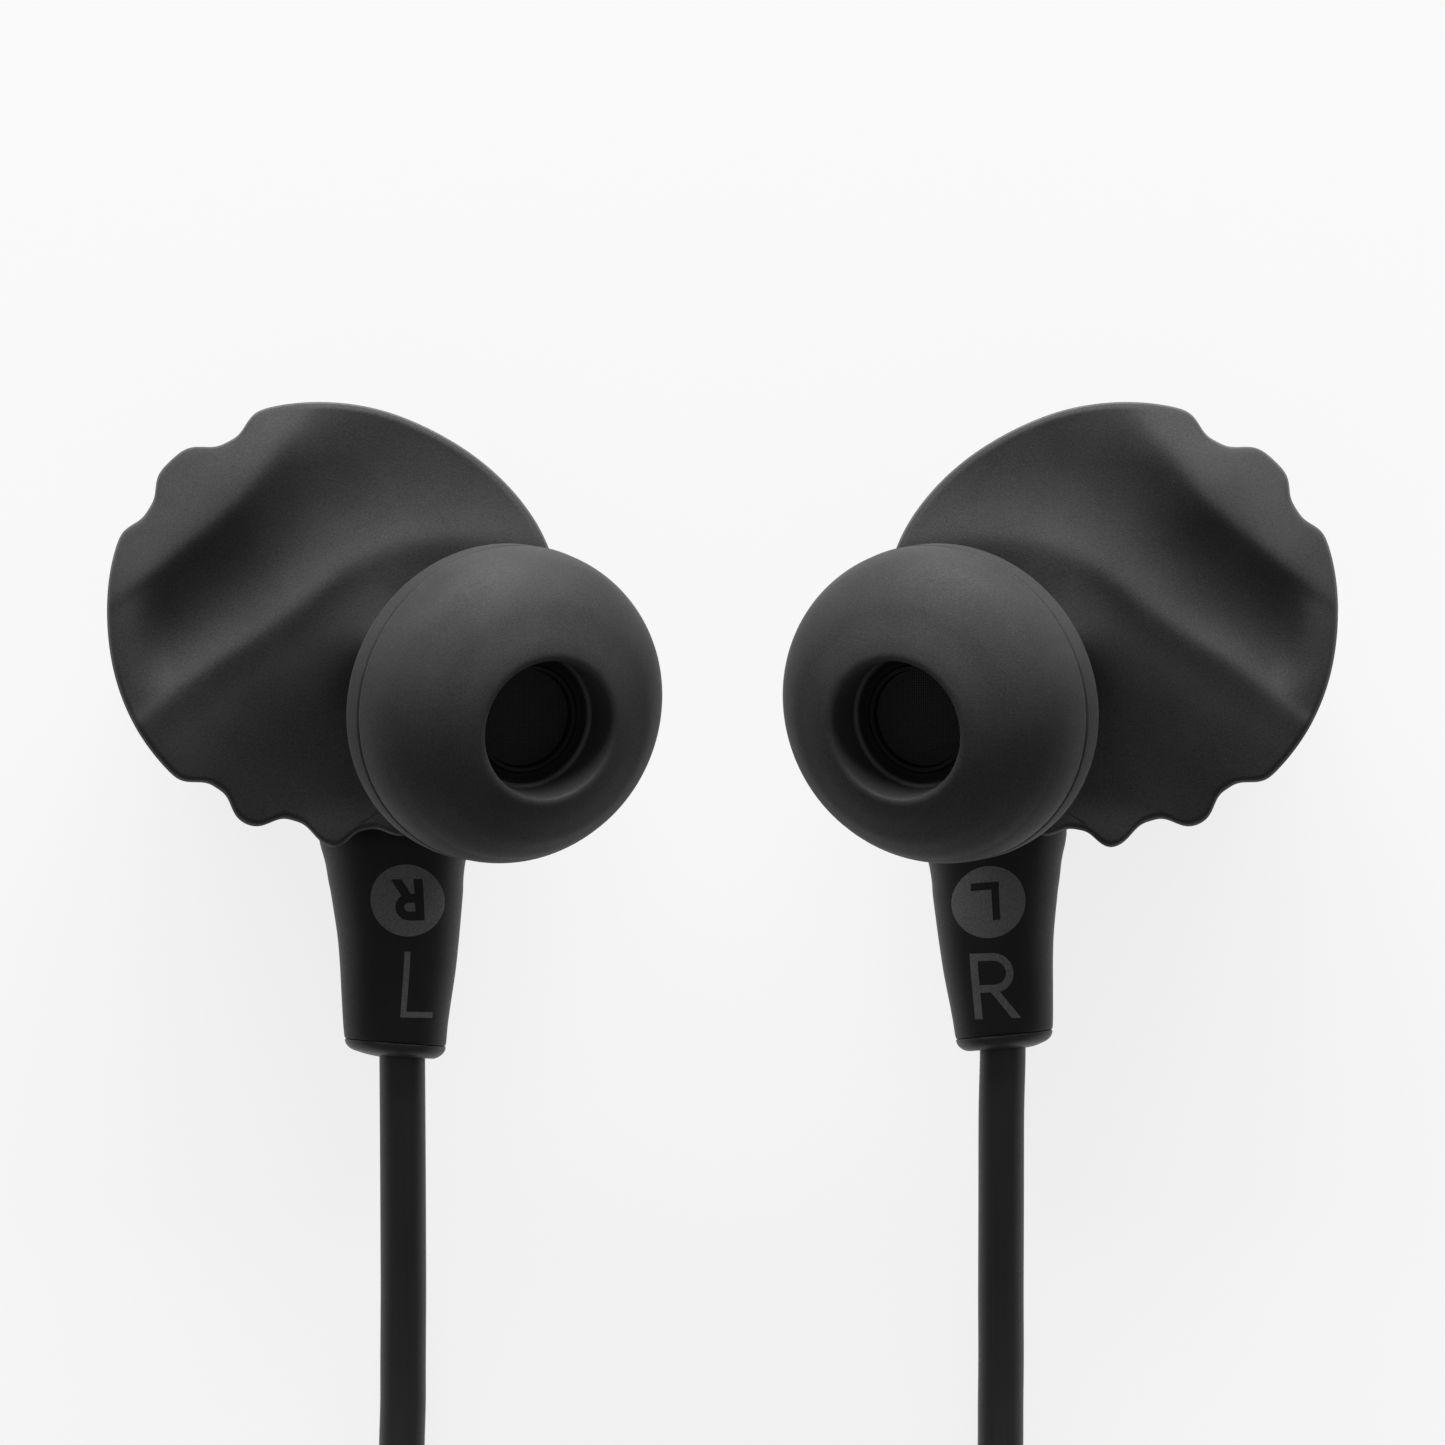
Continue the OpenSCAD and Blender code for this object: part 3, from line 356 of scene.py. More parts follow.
def cord_skin(name, colour, roughness):
    """An extruded cord: long faint streaks along it, and a fine grain."""
    f = Finish(name, colour, roughness, Specular_IOR_Level=0.4)
    drawn = f.math("MULTIPLY", f.mark("along"), 0.02)
    streak = f.add("ShaderNodeCombineXYZ", {0: f.mark("round"), 1: drawn})
    streaks, fine = f.noise(6, 3, streak.outputs[0]), f.noise(GRAIN, 3)
    f.shade(streaks, 0.88, 1.12).rough(fine, roughness - 0.05, roughness + 0.05)
    return f.bump(fine, 0.005).material


def brushed(name, colour, roughness, stretch=(1, 1, 14)):
    """Turned or stamped metal: fine drawn-out scratches that change its gloss."""
    f = Finish(name, colour, roughness, Metallic=1.0)
    drawn = f.add("ShaderNodeMapping", {"Vector": f.place, "Scale": stretch})
    lines = f.noise(1500, 4, drawn.outputs[0])
    f.shade(lines, 0.94, 1.04).rough(lines, roughness - 0.06, roughness + 0.08)
    return f.bump(lines, 0.0004).material


def wire_cloth(name, colour, pitch):
    """Fine woven wire: two sets of ribs, each over the other in turn, with painted shade darkening
    the gaps between.
    """
    f = Finish(name, colour, 0.45, Metallic=0.8)
    place = f.add("ShaderNodeSeparateXYZ", {0: f.place})
    rate = 2 * math.pi / (pitch * MM)
    waves = [f.math("SINE", f.math("MULTIPLY", place.outputs[i], rate)) for i in (0, 1)]
    weave = f.math("MULTIPLY", *waves)
    rise = f.math("MAXIMUM", *[f.math("ABSOLUTE", wave) for wave in waves])
    # painted shade: the gaps between the ribs are coloured dark
    f.shade(rise, 0.12, 1.0, 0.3, 0.95).rough(weave, 0.35, 0.6, -1, 1)
    return f.bump(rise, 0.03).material


def strap_cloth(name, colour):
    """A hook-and-loop strap: a fuzzy pile of tiny loops."""
    f = Finish(name, colour, 0.85, Sheen_Weight=0.3, Sheen_Roughness=0.5)
    loops = f.add("ShaderNodeTexVoronoi", {"Vector": f.place, "Scale": 4500.0}).outputs["Distance"]
    return f.shade(loops, 1.3, 0.6, 0.1, 0.7).bump(loops, 0.05).material


def wound(name, colour, pitch):
    """Wound wire: turns that lie side by side up the coil, darker in the grooves between them as
    painted shade.
    """
    f = Finish(name, colour, 0.35, Metallic=1.0)
    place = f.add("ShaderNodeSeparateXYZ", {0: f.place})
    up = f.math("MULTIPLY", place.outputs[2], math.pi / (pitch * MM))
    turns = f.math("ABSOLUTE", f.math("SINE", up))
    # painted shade: the colour falls to about half in the grooves between the turns
    f.shade(turns, 0.55, 1.1, 0, 1).rough(turns, 0.45, 0.28, 0, 1)
    return f.bump(turns, 0.03).material


# ---------- settings ----------

class EARPHONES_PG_sizes(bpy.types.PropertyGroup):
    """Sizes that a user would change."""
    branch_diameter: bpy.props.FloatProperty(
        name="Branch cord", description="Diameter of the cord from a bud to the splitter",
        default=0.0018, unit="LENGTH", precision=5)
    main_diameter: bpy.props.FloatProperty(
        name="Main cord", description="Diameter of the cord from the splitter to the plug",
        default=0.0020, unit="LENGTH", precision=5)
    sleeve_diameter: bpy.props.FloatProperty(
        name="Ear sleeve", description="Mean outer diameter of an ear sleeve",
        default=0.0173, unit="LENGTH", precision=5)
    tip_diameter: bpy.props.FloatProperty(
        name="Ear tip", description="Largest diameter of an ear tip",
        default=0.0125, unit="LENGTH", precision=5)
    mark_height: bpy.props.FloatProperty(
        name="Side mark", description="How far the printed side marks stand on the stem",
        default=0.000006, unit="LENGTH", precision=6)


class EARPHONES_PG_colours(bpy.types.PropertyGroup):
    """Colours that a user would change."""
    silicone: bpy.props.FloatVectorProperty(
        name="Silicone", description="Colour of the ear sleeves and tips",
        default=(0.037, 0.037, 0.038), subtype="COLOR", min=0, max=1)
    shell: bpy.props.FloatVectorProperty(
        name="Shells", description="Colour of the housings and stems",
        default=(0.010, 0.010, 0.011), subtype="COLOR", min=0, max=1)
    cord: bpy.props.FloatVectorProperty(
        name="Cord", description="Colour of the cords",
        default=(0.018, 0.018, 0.019), subtype="COLOR", min=0, max=1)
    print_grey: bpy.props.FloatVectorProperty(
        name="Side marks", description="Colour of the printed left and right marks",
        default=(0.125, 0.125, 0.125), subtype="COLOR", min=0, max=1)


class EARPHONES_PG_stage(bpy.types.PropertyGroup):
    """Light and camera."""
    camera_height: bpy.props.FloatProperty(
        name="Camera height", description="Height of the camera above the table",
        default=0.81, unit="LENGTH")
    view_width: bpy.props.FloatProperty(
        name="View", description="Width of what the camera sees at the buds",
        default=0.05623, unit="LENGTH", precision=5)
    lamp_power: bpy.props.FloatProperty(
        name="Lamp", description="Power of the soft lamp above the buds",
        default=9.8, unit="POWER")
    world_level: bpy.props.FloatProperty(
        name="Surroundings", description="Brightness of the surroundings near the horizon",
        default=0.16, min=0)


def sizes():
    """The sizes that the scene holds."""
    return bpy.context.scene.earphones_sizes


def colours():
    """The colours that the scene holds."""
    return bpy.context.scene.earphones_colours


# ---------- camera ----------

# In metres: the level that is seen at the view's width, and how near and far the camera sees
VIEW_LEVEL, CLIP = 0.010, (0.02, 20)
# In millimetres: how far the view's middle lies from the origin, and the width of the sensor
VIEW_Y, SENSOR = 0.33, 36


class EARPHONES_OT_camera(bpy.types.Operator):
    """Adds the camera straight above the pair, the stems towards the frame's lower edge"""
    bl_idname = "earphones.camera"
    bl_label = "Camera"

    def execute(self, context):
        settings = context.scene.earphones_stage
        data = bpy.data.cameras.new("camera")
        camera = bpy.data.objects.new("camera", data)
        context.scene.collection.objects.link(camera)
        camera.location = (0, VIEW_Y * MM, settings.camera_height)
        data.sensor_width = SENSOR
        data.lens = SENSOR * (settings.camera_height - VIEW_LEVEL) / settings.view_width
        data.clip_start, data.clip_end = CLIP
        context.scene.camera = camera
        return {"FINISHED"}


# ---------- cords ----------

def pile(t, r, turns, layers, pitch):
    """Radius and rise after t turns of a piled coil: in and out at a steady rate, and up a layer
    in the half turn where the spiral reverses, with a small swing there."""
    period = turns + 0.5
    k = np.minimum(layers - 1, np.floor(t / period + 0.0001))
    f = t - k * period
    inner, inward = r - pitch * turns, k % 2 == 0
    g = np.clip((f - turns) / 0.5, 0, None)
    dip = pitch / 4 * (1 - np.abs(2 * g - 1))
    flat = np.where(inward, r - pitch * f, inner + pitch * f)
    climb = np.where(inward, inner - dip, r + dip)
    return np.where(f <= turns, flat, climb), (k + g * g * (3 - 2 * g)) * pitch


def coil_line(entry, r, turns, layers, pitch, way, cut, stub):
    """The centreline of a piled coil with a straight stub in and out: a point after t turns stands
    at the pile's radius and rise, turned by t from the side where the cord comes in."""
    total = layers * turns + (layers - 1) * 0.5 - cut
    t = np.linspace(0, total, int(total * COIL_STEPS) + 1)
    rad, rise = pile(t, r, turns, layers, pitch)
    first = math.pi if way > 0 else 0.0
    a = first + way * 2 * math.pi * t
    centre = np.array(entry) + np.array([way * r, 0, 0])
    turned = centre + np.stack([rad * np.cos(a), rad * np.sin(a), rise], -1)
    last = way * stub * np.array([-math.sin(a[-1]), math.cos(a[-1]), 0])
    return np.array(entry) + [0, stub, 0], turned, turned[-1] + last


def stem_point(side, h):
    """A point of the cord in the stem, h from its pivot, in the place of that side's bud."""
    offset, lean, _ = STEMS[side]
    offset, lean = offset + CORD_OFF[side], math.radians(lean)
    p = bud_place(np.array([offset + h * math.sin(lean), STEM_PIVOT - h * math.cos(lean), STEM_Z]))
    return on_side(side, p)


# The branches' way to their coils: x by side, then y and height of both
BRANCH_X = {LEFT: (-12.56, -12.55, -12.55, -12.57, -12.5, -11.2, -8.8, -6, -3.6, -2.3),
            RIGHT: (10.95, 10.95, 10.95, 10.95, 10.8, 9.7, 7.3, 4.5, 2.1, 0.8)}
BRANCH_YZ = ((-15, 2.8), (-18.5, 2.2), (-22, 1.4), (-26, 0.9), (-30, 0.9), (-34, 0.9),
             (-37.5, 0.9), (-40.5, 0.9), (-43.6, 0.9), (-46.2, 1.05))
# The way out of a branch's coil, by its distance from the line the cords meet on, and the main
# cord's ways to its coil and on to the plug
MERGE_ROUTE = [[1.2, -54, 3.5], [1.1, -56.5, 2.6], [1, -58.8, 1.8], [1, -60, 1.7], [1, -62, 1.7]]
MAIN_ROUTE = [[MIDDLE_X, y, z] for y, z in (
    (-66, 1.7), (-68, 1.7), (-70.5, 1.4), (-73.5, 1), (-75.5, 1.15))]
PLUG_ROUTE = [[7.5, -66.9, 8.5], [4.5, -66.9, 7.5], [1.5, -66.9, 6.2], [-1.5, -66.9, 5.2],
              [-4.5, -66.9, 4.2], [-7.3, -67.1, 2.8], [-10, -67.7, 1.6], [-12.5, -68.9, 1.05],
              [-14.6, -70.8, 1.5], [-15.7, -73, 2.4], [-16, -75, 3], [-16, -77, 3]]


def branch_line(side):
    """From inside the stem's end, along the table, round the coil and into the splitter."""
    length = STEMS[side][2]
    entry = [ENTRY_X[side], COIL_Y, 1.25]
    stub_in, turned, stub_out = coil_line(entry, *BRANCH_COIL, side, 0, 1.8)
    route = [[x, *yz] for x, yz in zip(BRANCH_X[side], BRANCH_YZ)]
    way_in = smooth_line([stem_point(side, length - 3.1), stem_point(side, length - 0.3), *route,
                          stub_in, turned[0]], ROUTE_STEPS)
    merge = [[MIDDLE_X + side * x, y, z] for x, y, z in MERGE_ROUTE]
    way_out = smooth_line([turned[-1], stub_out, *merge], ROUTE_STEPS)
    return np.concatenate([way_in[:-1], turned, way_out[1:]])


def main_line():
    """From inside the splitter, round the large coil and into the plug's boot."""
    entry = [MIDDLE_X, MAIN_COIL_Y, 1.35]
    stub_in, turned, stub_out = coil_line(entry, *MAIN_COIL, 1, 0.25, 2)
    way_in = smooth_line([*MAIN_ROUTE, stub_in, turned[0]], ROUTE_STEPS)
    way_out = smooth_line([turned[-1], stub_out, *PLUG_ROUTE], ROUTE_STEPS)
    return np.concatenate([way_in[:-1], turned, way_out[1:]])


def add_cord(name, line, radius, replaces, exit_at, skin, step):
    """A round cord along its line, with the part round and the length along as marks."""
    line = even_steps(line, step)
    points, quads, around, along = tube(line, radius, CORD_SIDES)
    piece = add_piece(name, points, quads, skin, replaces=replaces, sharp=60,
                      marks={"round": np.cos(around), "along": along})


class EARPHONES_OT_cords(bpy.types.Operator):
    """Adds the two branch cords and the main cord, each with its tied coil"""
    bl_idname = "earphones.cords"
    bl_label = "Cords"

    def execute(self, context):
        skin = cord_skin("cord skin", colours().cord, 0.5)
        branch, main = sizes().branch_diameter / MM / 2, sizes().main_diameter / MM / 2
        for side, word in SIDES:
            add_cord(f"{word}_branch", branch_line(side), branch,
                     (f"{word}_cord", f"{word}_coil", f"{word}_merge_cord"),
                     stem_point(side, STEMS[side][2]),
                     skin, 0.6)
        add_cord("main_lead", main_line(), main, ("main_cord", "main_coil", "plug_cord"),
                 [MIDDLE_X, SPLITTER_END, SPLITTER_Z],
                 skin, 0.7)
        return {"FINISHED"}


# ---------- ear sleeves ----------

# The outline beyond its mean radius by direction, then each notch: direction, depth, half width
OUTLINE = np.array([[0, 0.35], [20, 0.4], [30, 0.26], [48, 0], [63, -0.12], [90, 0.02],
                    [108, 0.2], [138, 0.33], [158, 0.29], [180, 0.02], [210, -0.09],
                    [224, -0.17], [247, -0.24], [270, 0.06], [300, 0.05], [360, 0.35]])
NOTCHES = ((119.3, 0.71, 7.4), (147.5, 0.55, 6.5), (235.2, 0.69, 7), (259.2, 0.8, 7.3),
           (280, 0.6, 6))
# How far the rim's roll-off reaches in and falls, and in how many rings
RIM_IN, RIM_FALL, RIM_RINGS = 0.3, 0.2, 13
# How far the face drops at the edge near the first notches, over what width and round which side
DROP, DROP_WIDE, DROP_SIDE = 0.8, 2.4, math.radians(140)
# Height to which the trough is filled near the edge, by direction, and how far in
RIM_FILL = np.array([[0, 8], [150, 9.3], [162, 10.05], [174, 10.4], [184, 10.4], [194, 10.25],
                     [204, 10.12], [216, 9.96], [232, 9.6], [245, 8.6], [360, 8]])
FILL_WIDE = 1.9
# The rear edge's rings (inset and height), the side's inset, and the parts of the way up the side
REAR_EDGE = ((0.35, 6.0), (0.12, 6.03), (0.08, 6.12), (0.07, 6.3))
SIDE_IN, SIDE_STEPS = 0.07, (0.3, 0.6)
# The fine bead that the mould leaves below the rim: inset of its rings and how far below they are
MOULD_BEAD = ((0.07, 0.24), (0.02, 0.22), (0, 0.17), (0.01, 0.12), (0.04, 0.09), (0.065, 0.07))
# The neck's foot: distance along the nozzle, radius, and how many radii its swell reaches
NECK_FOOT, NECK_FOOT_R, NECK_REACH = 0.9, 3.5, 1.85
# The neck up and back down inside (distance along the nozzle and radius), then the inner side
# down to the rear edge (distance from the bud's axis, height, radius and tilt in degrees)
NECK = ((1.9, 3.38), (2.7, 3.24), (3.5, 3.18), (3.72, 3.1), (3.8, 2.95), (3.8, 2.68),
        (1.3, 2.68), (0.5, 2.75))
INSIDE = ((3.2, 7.65, 4.6, 13.5), (0.9, 7.9, 6.2, 4), (0, 7.3, 7.2, 0), (0, 6.6, 7.08, 0),
          (0, 6.0, 7.08, 0))
FACE_RINGS = 60
# The ridges' direction, the height of the trough's floor and the second crest, and the width
# over which creases are rounded
RIDGE_TURN = math.radians(-52)
FLOOR_Z, CREST_Z, CREASE = 9.15, 10.35, 0.35


def by_direction(a, table):
    """A table's value at a direction, evened out over 16 degrees."""
    turn = np.degrees(a)
    return np.mean([np.interp((turn + d) % 360, *table.T) for d in np.linspace(-8, 8, 17)], axis=0)


def plain_radius(a):
    """The sleeve's outline before its notches: the mean radius and its slow swell."""
    return sizes().sleeve_diameter / MM / 2 + by_direction(a, OUTLINE)


def sleeve_radius(a):
    """The sleeve's outline: the plain one less a rounded dip at each notch, which is its depth
    times a bell curve of the third power."""
    turn = np.degrees(a) % 360
    dip = [depth * np.exp(-(np.abs((turn - at) / half) ** 3)) for at, depth, half in NOTCHES]
    return plain_radius(a) - np.max(dip, axis=0)


def with_rim(x, y):
    """The face's height with its neck, shaped to the plain outline, so that the notches cut
    through it: the trough is filled up near the edge, and on the side of the first notches the
    face drops to the edge with the square of the nearness to it."""
    a = np.arctan2(y, x)
    inward = plain_radius(a) - np.hypot(x, y)
    face = with_neck(x, y)
    rise = by_direction(a, RIM_FILL) - face
    filled = face + soft_step(1.25 - inward / FILL_WIDE) * (rise + np.sqrt(rise**2 + 0.02)) / 2
    drop = DROP * soft_step((np.cos(a - DROP_SIDE) - 0.35) / 0.6)
    return filled - drop * np.clip(1 - inward / DROP_WIDE, 0, 1) ** 2


def face_height(x, y):
    """Height of the sleeve's face, by the distance q across its two ridges and t along them. The
    trough between the ridges falls with the third power of the way to each, and its sides are
    cut off by the outer slope and by the slope beyond the second ridge, which dies away and then
    falls again towards the stem."""
    q, t = rotate(x, y, -RIDGE_TURN)
    ramp = (t - 0.3 + np.sqrt((t - 0.3) ** 2 + 2.25)) / 2
    crest_1 = -5.8 - 0.3 * ramp
    crest_2 = -1.4 + 0.085 * np.clip(t - 1.4, 0, None) ** 2 - 0.3 / (1 + np.exp((t + 3.3) / 0.6))
    w = (q - crest_1) / (crest_2 - crest_1)
    fall = 1.4 - 0.65 * soft_step((t + 0.5) / 5)
    outer = FLOOR_Z + fall + 0.4 * (q - crest_1)
    trough = FLOOR_Z + fall * np.abs(1 - w) ** 2.5 + 1.2 * np.abs(w) ** 3
    far = np.clip(q - crest_2 - 1.5, 0, None)
    step = 0.62 - 0.37 * soft_step((t - 0.5) / 3)
    beyond = CREST_Z - step * (1 - np.exp(-(q - crest_2) / 1.8)) - 1.8 * (
        1 - np.exp(-((far / 5) ** 2)))
    return lower_of(lower_of(outer, trough, CREASE), beyond, CREASE)


def nozzle_ring(along, z, r, tilt):
    """A ring round the leaning nozzle, or a level one where tilt is 0."""
    a = directions(SLEEVE_SIDES)
    tilt = math.radians(tilt)
    u, w = along + r * math.cos(tilt) * np.cos(a - TURN), r * np.sin(a - TURN)
    return np.stack([*rotate(u, w, TURN), z - r * math.sin(tilt) * np.cos(a - TURN)], -1)


def neck_ring(s, r):
    """A ring square to the nozzle, at a distance along it."""
    return nozzle_ring(NOZZLE_OFFSET + s * math.sin(TILT), ROOT_Z + s * math.cos(TILT), r,
                       math.degrees(TILT))


def with_neck(x, y):
    """The face's height, raised near the neck where the neck's leaning foot stands higher in the
    same direction, from nothing at the end of its reach, and the less the further round to the
    stem's side."""
    dx, dy = x - NOZZLE_OFFSET * math.cos(TURN), y - NOZZLE_OFFSET * math.sin(TURN)
    u, w = rotate(dx, dy, -TURN)
    u = u - NECK_FOOT * math.sin(TILT)
    far = np.hypot(u / math.cos(TILT), w) / NECK_FOOT_R
    up = dy / np.maximum(np.hypot(dx, dy), 1e-6)
    near = soft_step((NECK_REACH - far) / (NECK_REACH - 1)) * soft_step((up + 0.4) / 1.0)
    foot = ROOT_Z + NECK_FOOT * math.cos(TILT) - u / np.maximum(far, 1) * math.tan(TILT)
    face = face_height(x, y)
    rise = foot - face
    return face + near * (rise + np.sqrt(rise**2 + 0.04)) / 2


def sleeve_rings():
    """The sleeve from its rear edge up the side, round the rim, over the face to the neck, and
    back down inside. The rim rolls off by a quarter ellipse below the face's height. Rings of the
    face go straight from the rim to the neck."""
    a = directions(SLEEVE_SIDES)
    outline = sleeve_radius(a)
    out = np.stack([np.cos(a), np.sin(a)], -1)

    def level(inset, z):
        flat = (outline - inset)[:, None] * out
        return np.concatenate([flat, np.broadcast_to(z, a.shape)[:, None]], -1)

    def rolled(part):
        ring = level(SIDE_IN + (RIM_IN - SIDE_IN) * part, 0.0)
        fall = RIM_FALL * (1 - math.sqrt(1 - (1 - part) ** 2))
        ring[:, 2] = with_rim(ring[:, 0], ring[:, 1]) - fall
        return ring

    edge, foot = rolled(0)[:, 2], REAR_EDGE[-1][1]
    rings = [level(*place) for place in REAR_EDGE]
    rings += [level(SIDE_IN, foot + f * (edge - foot)) for f in SIDE_STEPS]
    rings += [level(inset, edge - below) for inset, below in MOULD_BEAD]
    rings += [rolled(1 - math.cos(b)) for b in np.radians(np.linspace(0, 90, RIM_RINGS))]
    rim, neck = rings[-1], neck_ring(NECK_FOOT, NECK_FOOT_R)
    for v in np.linspace(0, 1, FACE_RINGS)[1:-1]:
        p = rim * (1 - v) + neck * v
        p[:, 2] = with_rim(p[:, 0], p[:, 1])
        rings.append(p)
    rings += [neck, *[neck_ring(*ring) for ring in NECK], *[nozzle_ring(*ring) for ring in INSIDE]]
    return np.array(rings)


class EARPHONES_OT_sleeves(bpy.types.Operator):
    """Adds the ear sleeves: ridged faces, notched rims and the necks round the nozzles"""
    bl_idname = "earphones.sleeves"
    bl_label = "Ear sleeves"

    def execute(self, context):
        skin = moulded("sleeve silicone", colours().silicone, 0.65, edge="edge",
                       Specular_IOR_Level=0.2, Sheen_Weight=0.05, Sheen_Roughness=0.4)
        rings = sleeve_rings()
        # the mould bead's rings carry the edge mark, which paints a pale highlight along the bead
        # below the rim
        edge, bead = np.zeros(len(rings)), len(REAR_EDGE) + len(SIDE_STEPS)
        edge[bead : bead + len(MOULD_BEAD)] = 1
        quads = grid_quads(len(rings), SLEEVE_SIDES, True, True)
        for side, word in SIDES:
            points = on_side(side, bud_place(rings.reshape(-1, 3)))
            add_piece(f"{word}_sleeve_skin", points, quads, skin,
                      replaces=(f"{word}_ear_sleeve",), sharp=60,
                      marks={"edge": np.repeat(edge, SLEEVE_SIDES)})
        return {"FINISHED"}


# ---------- ear tips ----------

# How far the soft dome stands off the nozzle's axis, by the distance along the nozzle
TIP_LIFT = np.array([[5.2, 0.06], [5.8, 0.1], [6.5, 0.2], [7.2, 0.24], [8.2, 0.3], [9.2, 0.2],
                     [10, 0.06], [10.4, 0]])
# Edge marks of the bore's lip, painted paler as a highlight, and of the ledge behind it, painted
# darker as shade
LIP_PAINTED_HIGHLIGHT, LEDGE_PAINTED_SHADE = 0.8, -0.55


class EARPHONES_OT_tips(bpy.types.Operator):
    """Adds the ear tips: a dome with a fine mould seam, rolled in to the bore, on its inner tube"""
    bl_idname = "earphones.tips"
    bl_label = "Ear tips"

    def execute(self, context):
        r = sizes().tip_diameter / MM / 2
        outside = smooth_line([(5.28, r - 0.42), (5.2, r - 0.2), (5.3, r - 0.03), (5.7, r + 0.02),
                               (6.1, r + 0.03), (6.2, r + 0.03)], 6)
        seam = [(6.24, r + 0.015), (6.28, r + 0.03), (6.4, r + 0.025), (6.44, r - 0.03),
                (6.52, r - 0.04)]
        dome = smooth_line([(6.58, r + 0.01), (7.1, r - 0.02), (7.6, r - 0.11), (8.1, r - 0.28),
                            (8.6, r - 0.56), (9.1, r - 0.97), (9.6, r - 1.5), (10.0, r - 2.1),
                            (10.32, r - 2.65), (10.5, r - 3.05), (10.57, 2.95), (10.53, 2.77),
                            (10.4, 2.7), (10.1, 2.69), (9.2, 2.69), (8.62, 2.68)], 6)
        inside = smooth_line([(4.4, 2.98), (7.9, 2.98), (8.6, 3.15), (9.2, 3.5), (9.3, 4.1),
                              (8.9, 4.75), (8.3, 5.25), (7.6, 5.6), (6.8, r - 0.44),
                              (6.0, r - 0.46), (5.5, r - 0.46)], 5)
        ledge = [(8.56, 2.62), (8.5, 2.5), (8.46, 2.36), (8.47, 2.33), (8.44, 2.3), (8.42, 2.28),
                 (8.41, 2.16), (8.36, 2.16), (8.3, 2.3), (8.2, 2.38), (4.4, 2.38)]
        profile = np.concatenate([outside, seam, dome, ledge, inside])
        edge = np.zeros(len(profile))
        lip = len(outside) + len(seam) + len(dome)
        # painted highlight on the bore's lip, and painted shade on the ledge behind it
        edge[lip - 1 : lip + 1] = LIP_PAINTED_HIGHLIGHT
        edge[lip + 1 : lip + len(ledge)] = LEDGE_PAINTED_SHADE
        points, quads = round_nozzle(profile, TIP_SIDES)
        lift = np.interp(profile[:, 0], *TIP_LIFT.T) * soft_step((profile[:, 1] - 3) / 1.2)
        points[:, 1] += np.repeat(lift, TIP_SIDES)
        skin = moulded("tip silicone", colours().silicone, 0.62, edge="edge",
                       Specular_IOR_Level=0.22, Sheen_Weight=0.06, Sheen_Roughness=0.4)
        for side, word in SIDES:
            add_piece(f"{word}_tip_skin", on_side(side, points), quads, skin, body=f"{word}_tip",
                      replaces=(f"{word}_ear_tip",), sharp=55,
                      marks={"edge": np.repeat(edge, TIP_SIDES)})
        return {"FINISHED"}


# ---------- stems ----------

# Distance from the pivot, half width and half height
STEM_PROFILE = [(3.6, 2.95, 2.72), (4.6, 2.95, 2.7), (5.1, 2.88, 2.68), (5.9, 2.68, 2.6),
                (7.2, 2.52, 2.5), (8.75, 2.34, 2.34), (10.3, 2.2, 2.2), (11.5, 2.08, 2.08),
                (12.6, 1.975, 1.975), (13.2, 1.93, 1.93)]
# How far the stem bows to one side by the distance from its pivot
STEM_BOW = [(2, 0), (6, 0), (7, 0.05), (8.5, 0.09), (9.3, 0.085), (10, 0.065), (10.8, 0.02),
            (11.6, -0.025), (12.4, -0.06), (13.4, -0.08)]
# The shell's wall, how far across it the stem's root may reach, and the root's rings
WALL_R, WALL_EDGE, ROOT_RINGS = 7.03, 6.5, 12


def stem_place(side, h, across, z):
    """Points by their distance from the stem's pivot, across it and up from the table: the stem
    leads away from the pivot at its lean, and across is square to it."""
    offset, lean, _ = STEMS[side]
    lean = math.radians(lean)
    x = offset + h * math.sin(lean) + across * math.cos(lean)
    y = STEM_PIVOT - h * math.cos(lean) + across * math.sin(lean)
    return bud_place(np.stack(np.broadcast_arrays(x, y, z), -1))


def stem_rings(side, profile):
    """Rings round the stem's axis: each is an ellipse with its half width across and half height,
    at its distance from the pivot. It dips to one side by its fourth number and stands off the
    axis by its fifth."""
    a = directions(STEM_SIDES)[None]
    h, w, t, dip, off = (column[:, None] for column in np.asarray(profile, float).T)
    return stem_place(side, h + dip * np.cos(a), off + w * np.cos(a), STEM_Z + t * np.sin(a))


def stem_root(ring):
    """Rings that carry the stem's first one back to the round wall of the shell. A point's foot
    lies on that wall straight up from it, or further in where it would pass beside the bud, and
    the points between go over from the stem's line to the wall along a quarter wave."""
    first = ring - np.array([-BUD_X, BUD_Y, 0.0])
    foot = first.copy()
    foot[:, 0] = lower_of(first[:, 0], WALL_EDGE, 1.5)
    foot[:, 1] = -np.sqrt(WALL_R**2 - foot[:, 0] ** 2)
    v = np.linspace(0, 1, ROOT_RINGS)[:-1, None, None]
    rings = foot * (1 - v) + first * v
    rings[..., 0] = foot[:, 0] + (first[:, 0] - foot[:, 0]) * np.sin(v[..., 0] * math.pi / 2)
    return bud_place(rings)


def stem_half(side, h):
    """The stem's half width, half height and bow at a distance from its pivot."""
    line, bow = smooth_line(STEM_PROFILE, 8), smooth_line(STEM_BOW, 8)
    width, height = (STEM_WIDE[side] * np.interp(h, line[:, 0], line[:, i]) for i in (1, 2))
    return width, height, np.interp(h, *bow.T)


def printed(side, x, h, rise):
    """Points of a print: x across the stem and h from its pivot, laid on the stem's skin, which
    is as high there as its ellipse."""
    w, t, bow = stem_half(side, h)
    z = STEM_Z + (t + rise) * np.sqrt(np.clip(1 - (x / w) ** 2, 0, 1))
    return stem_place(side, h, x + bow, z)


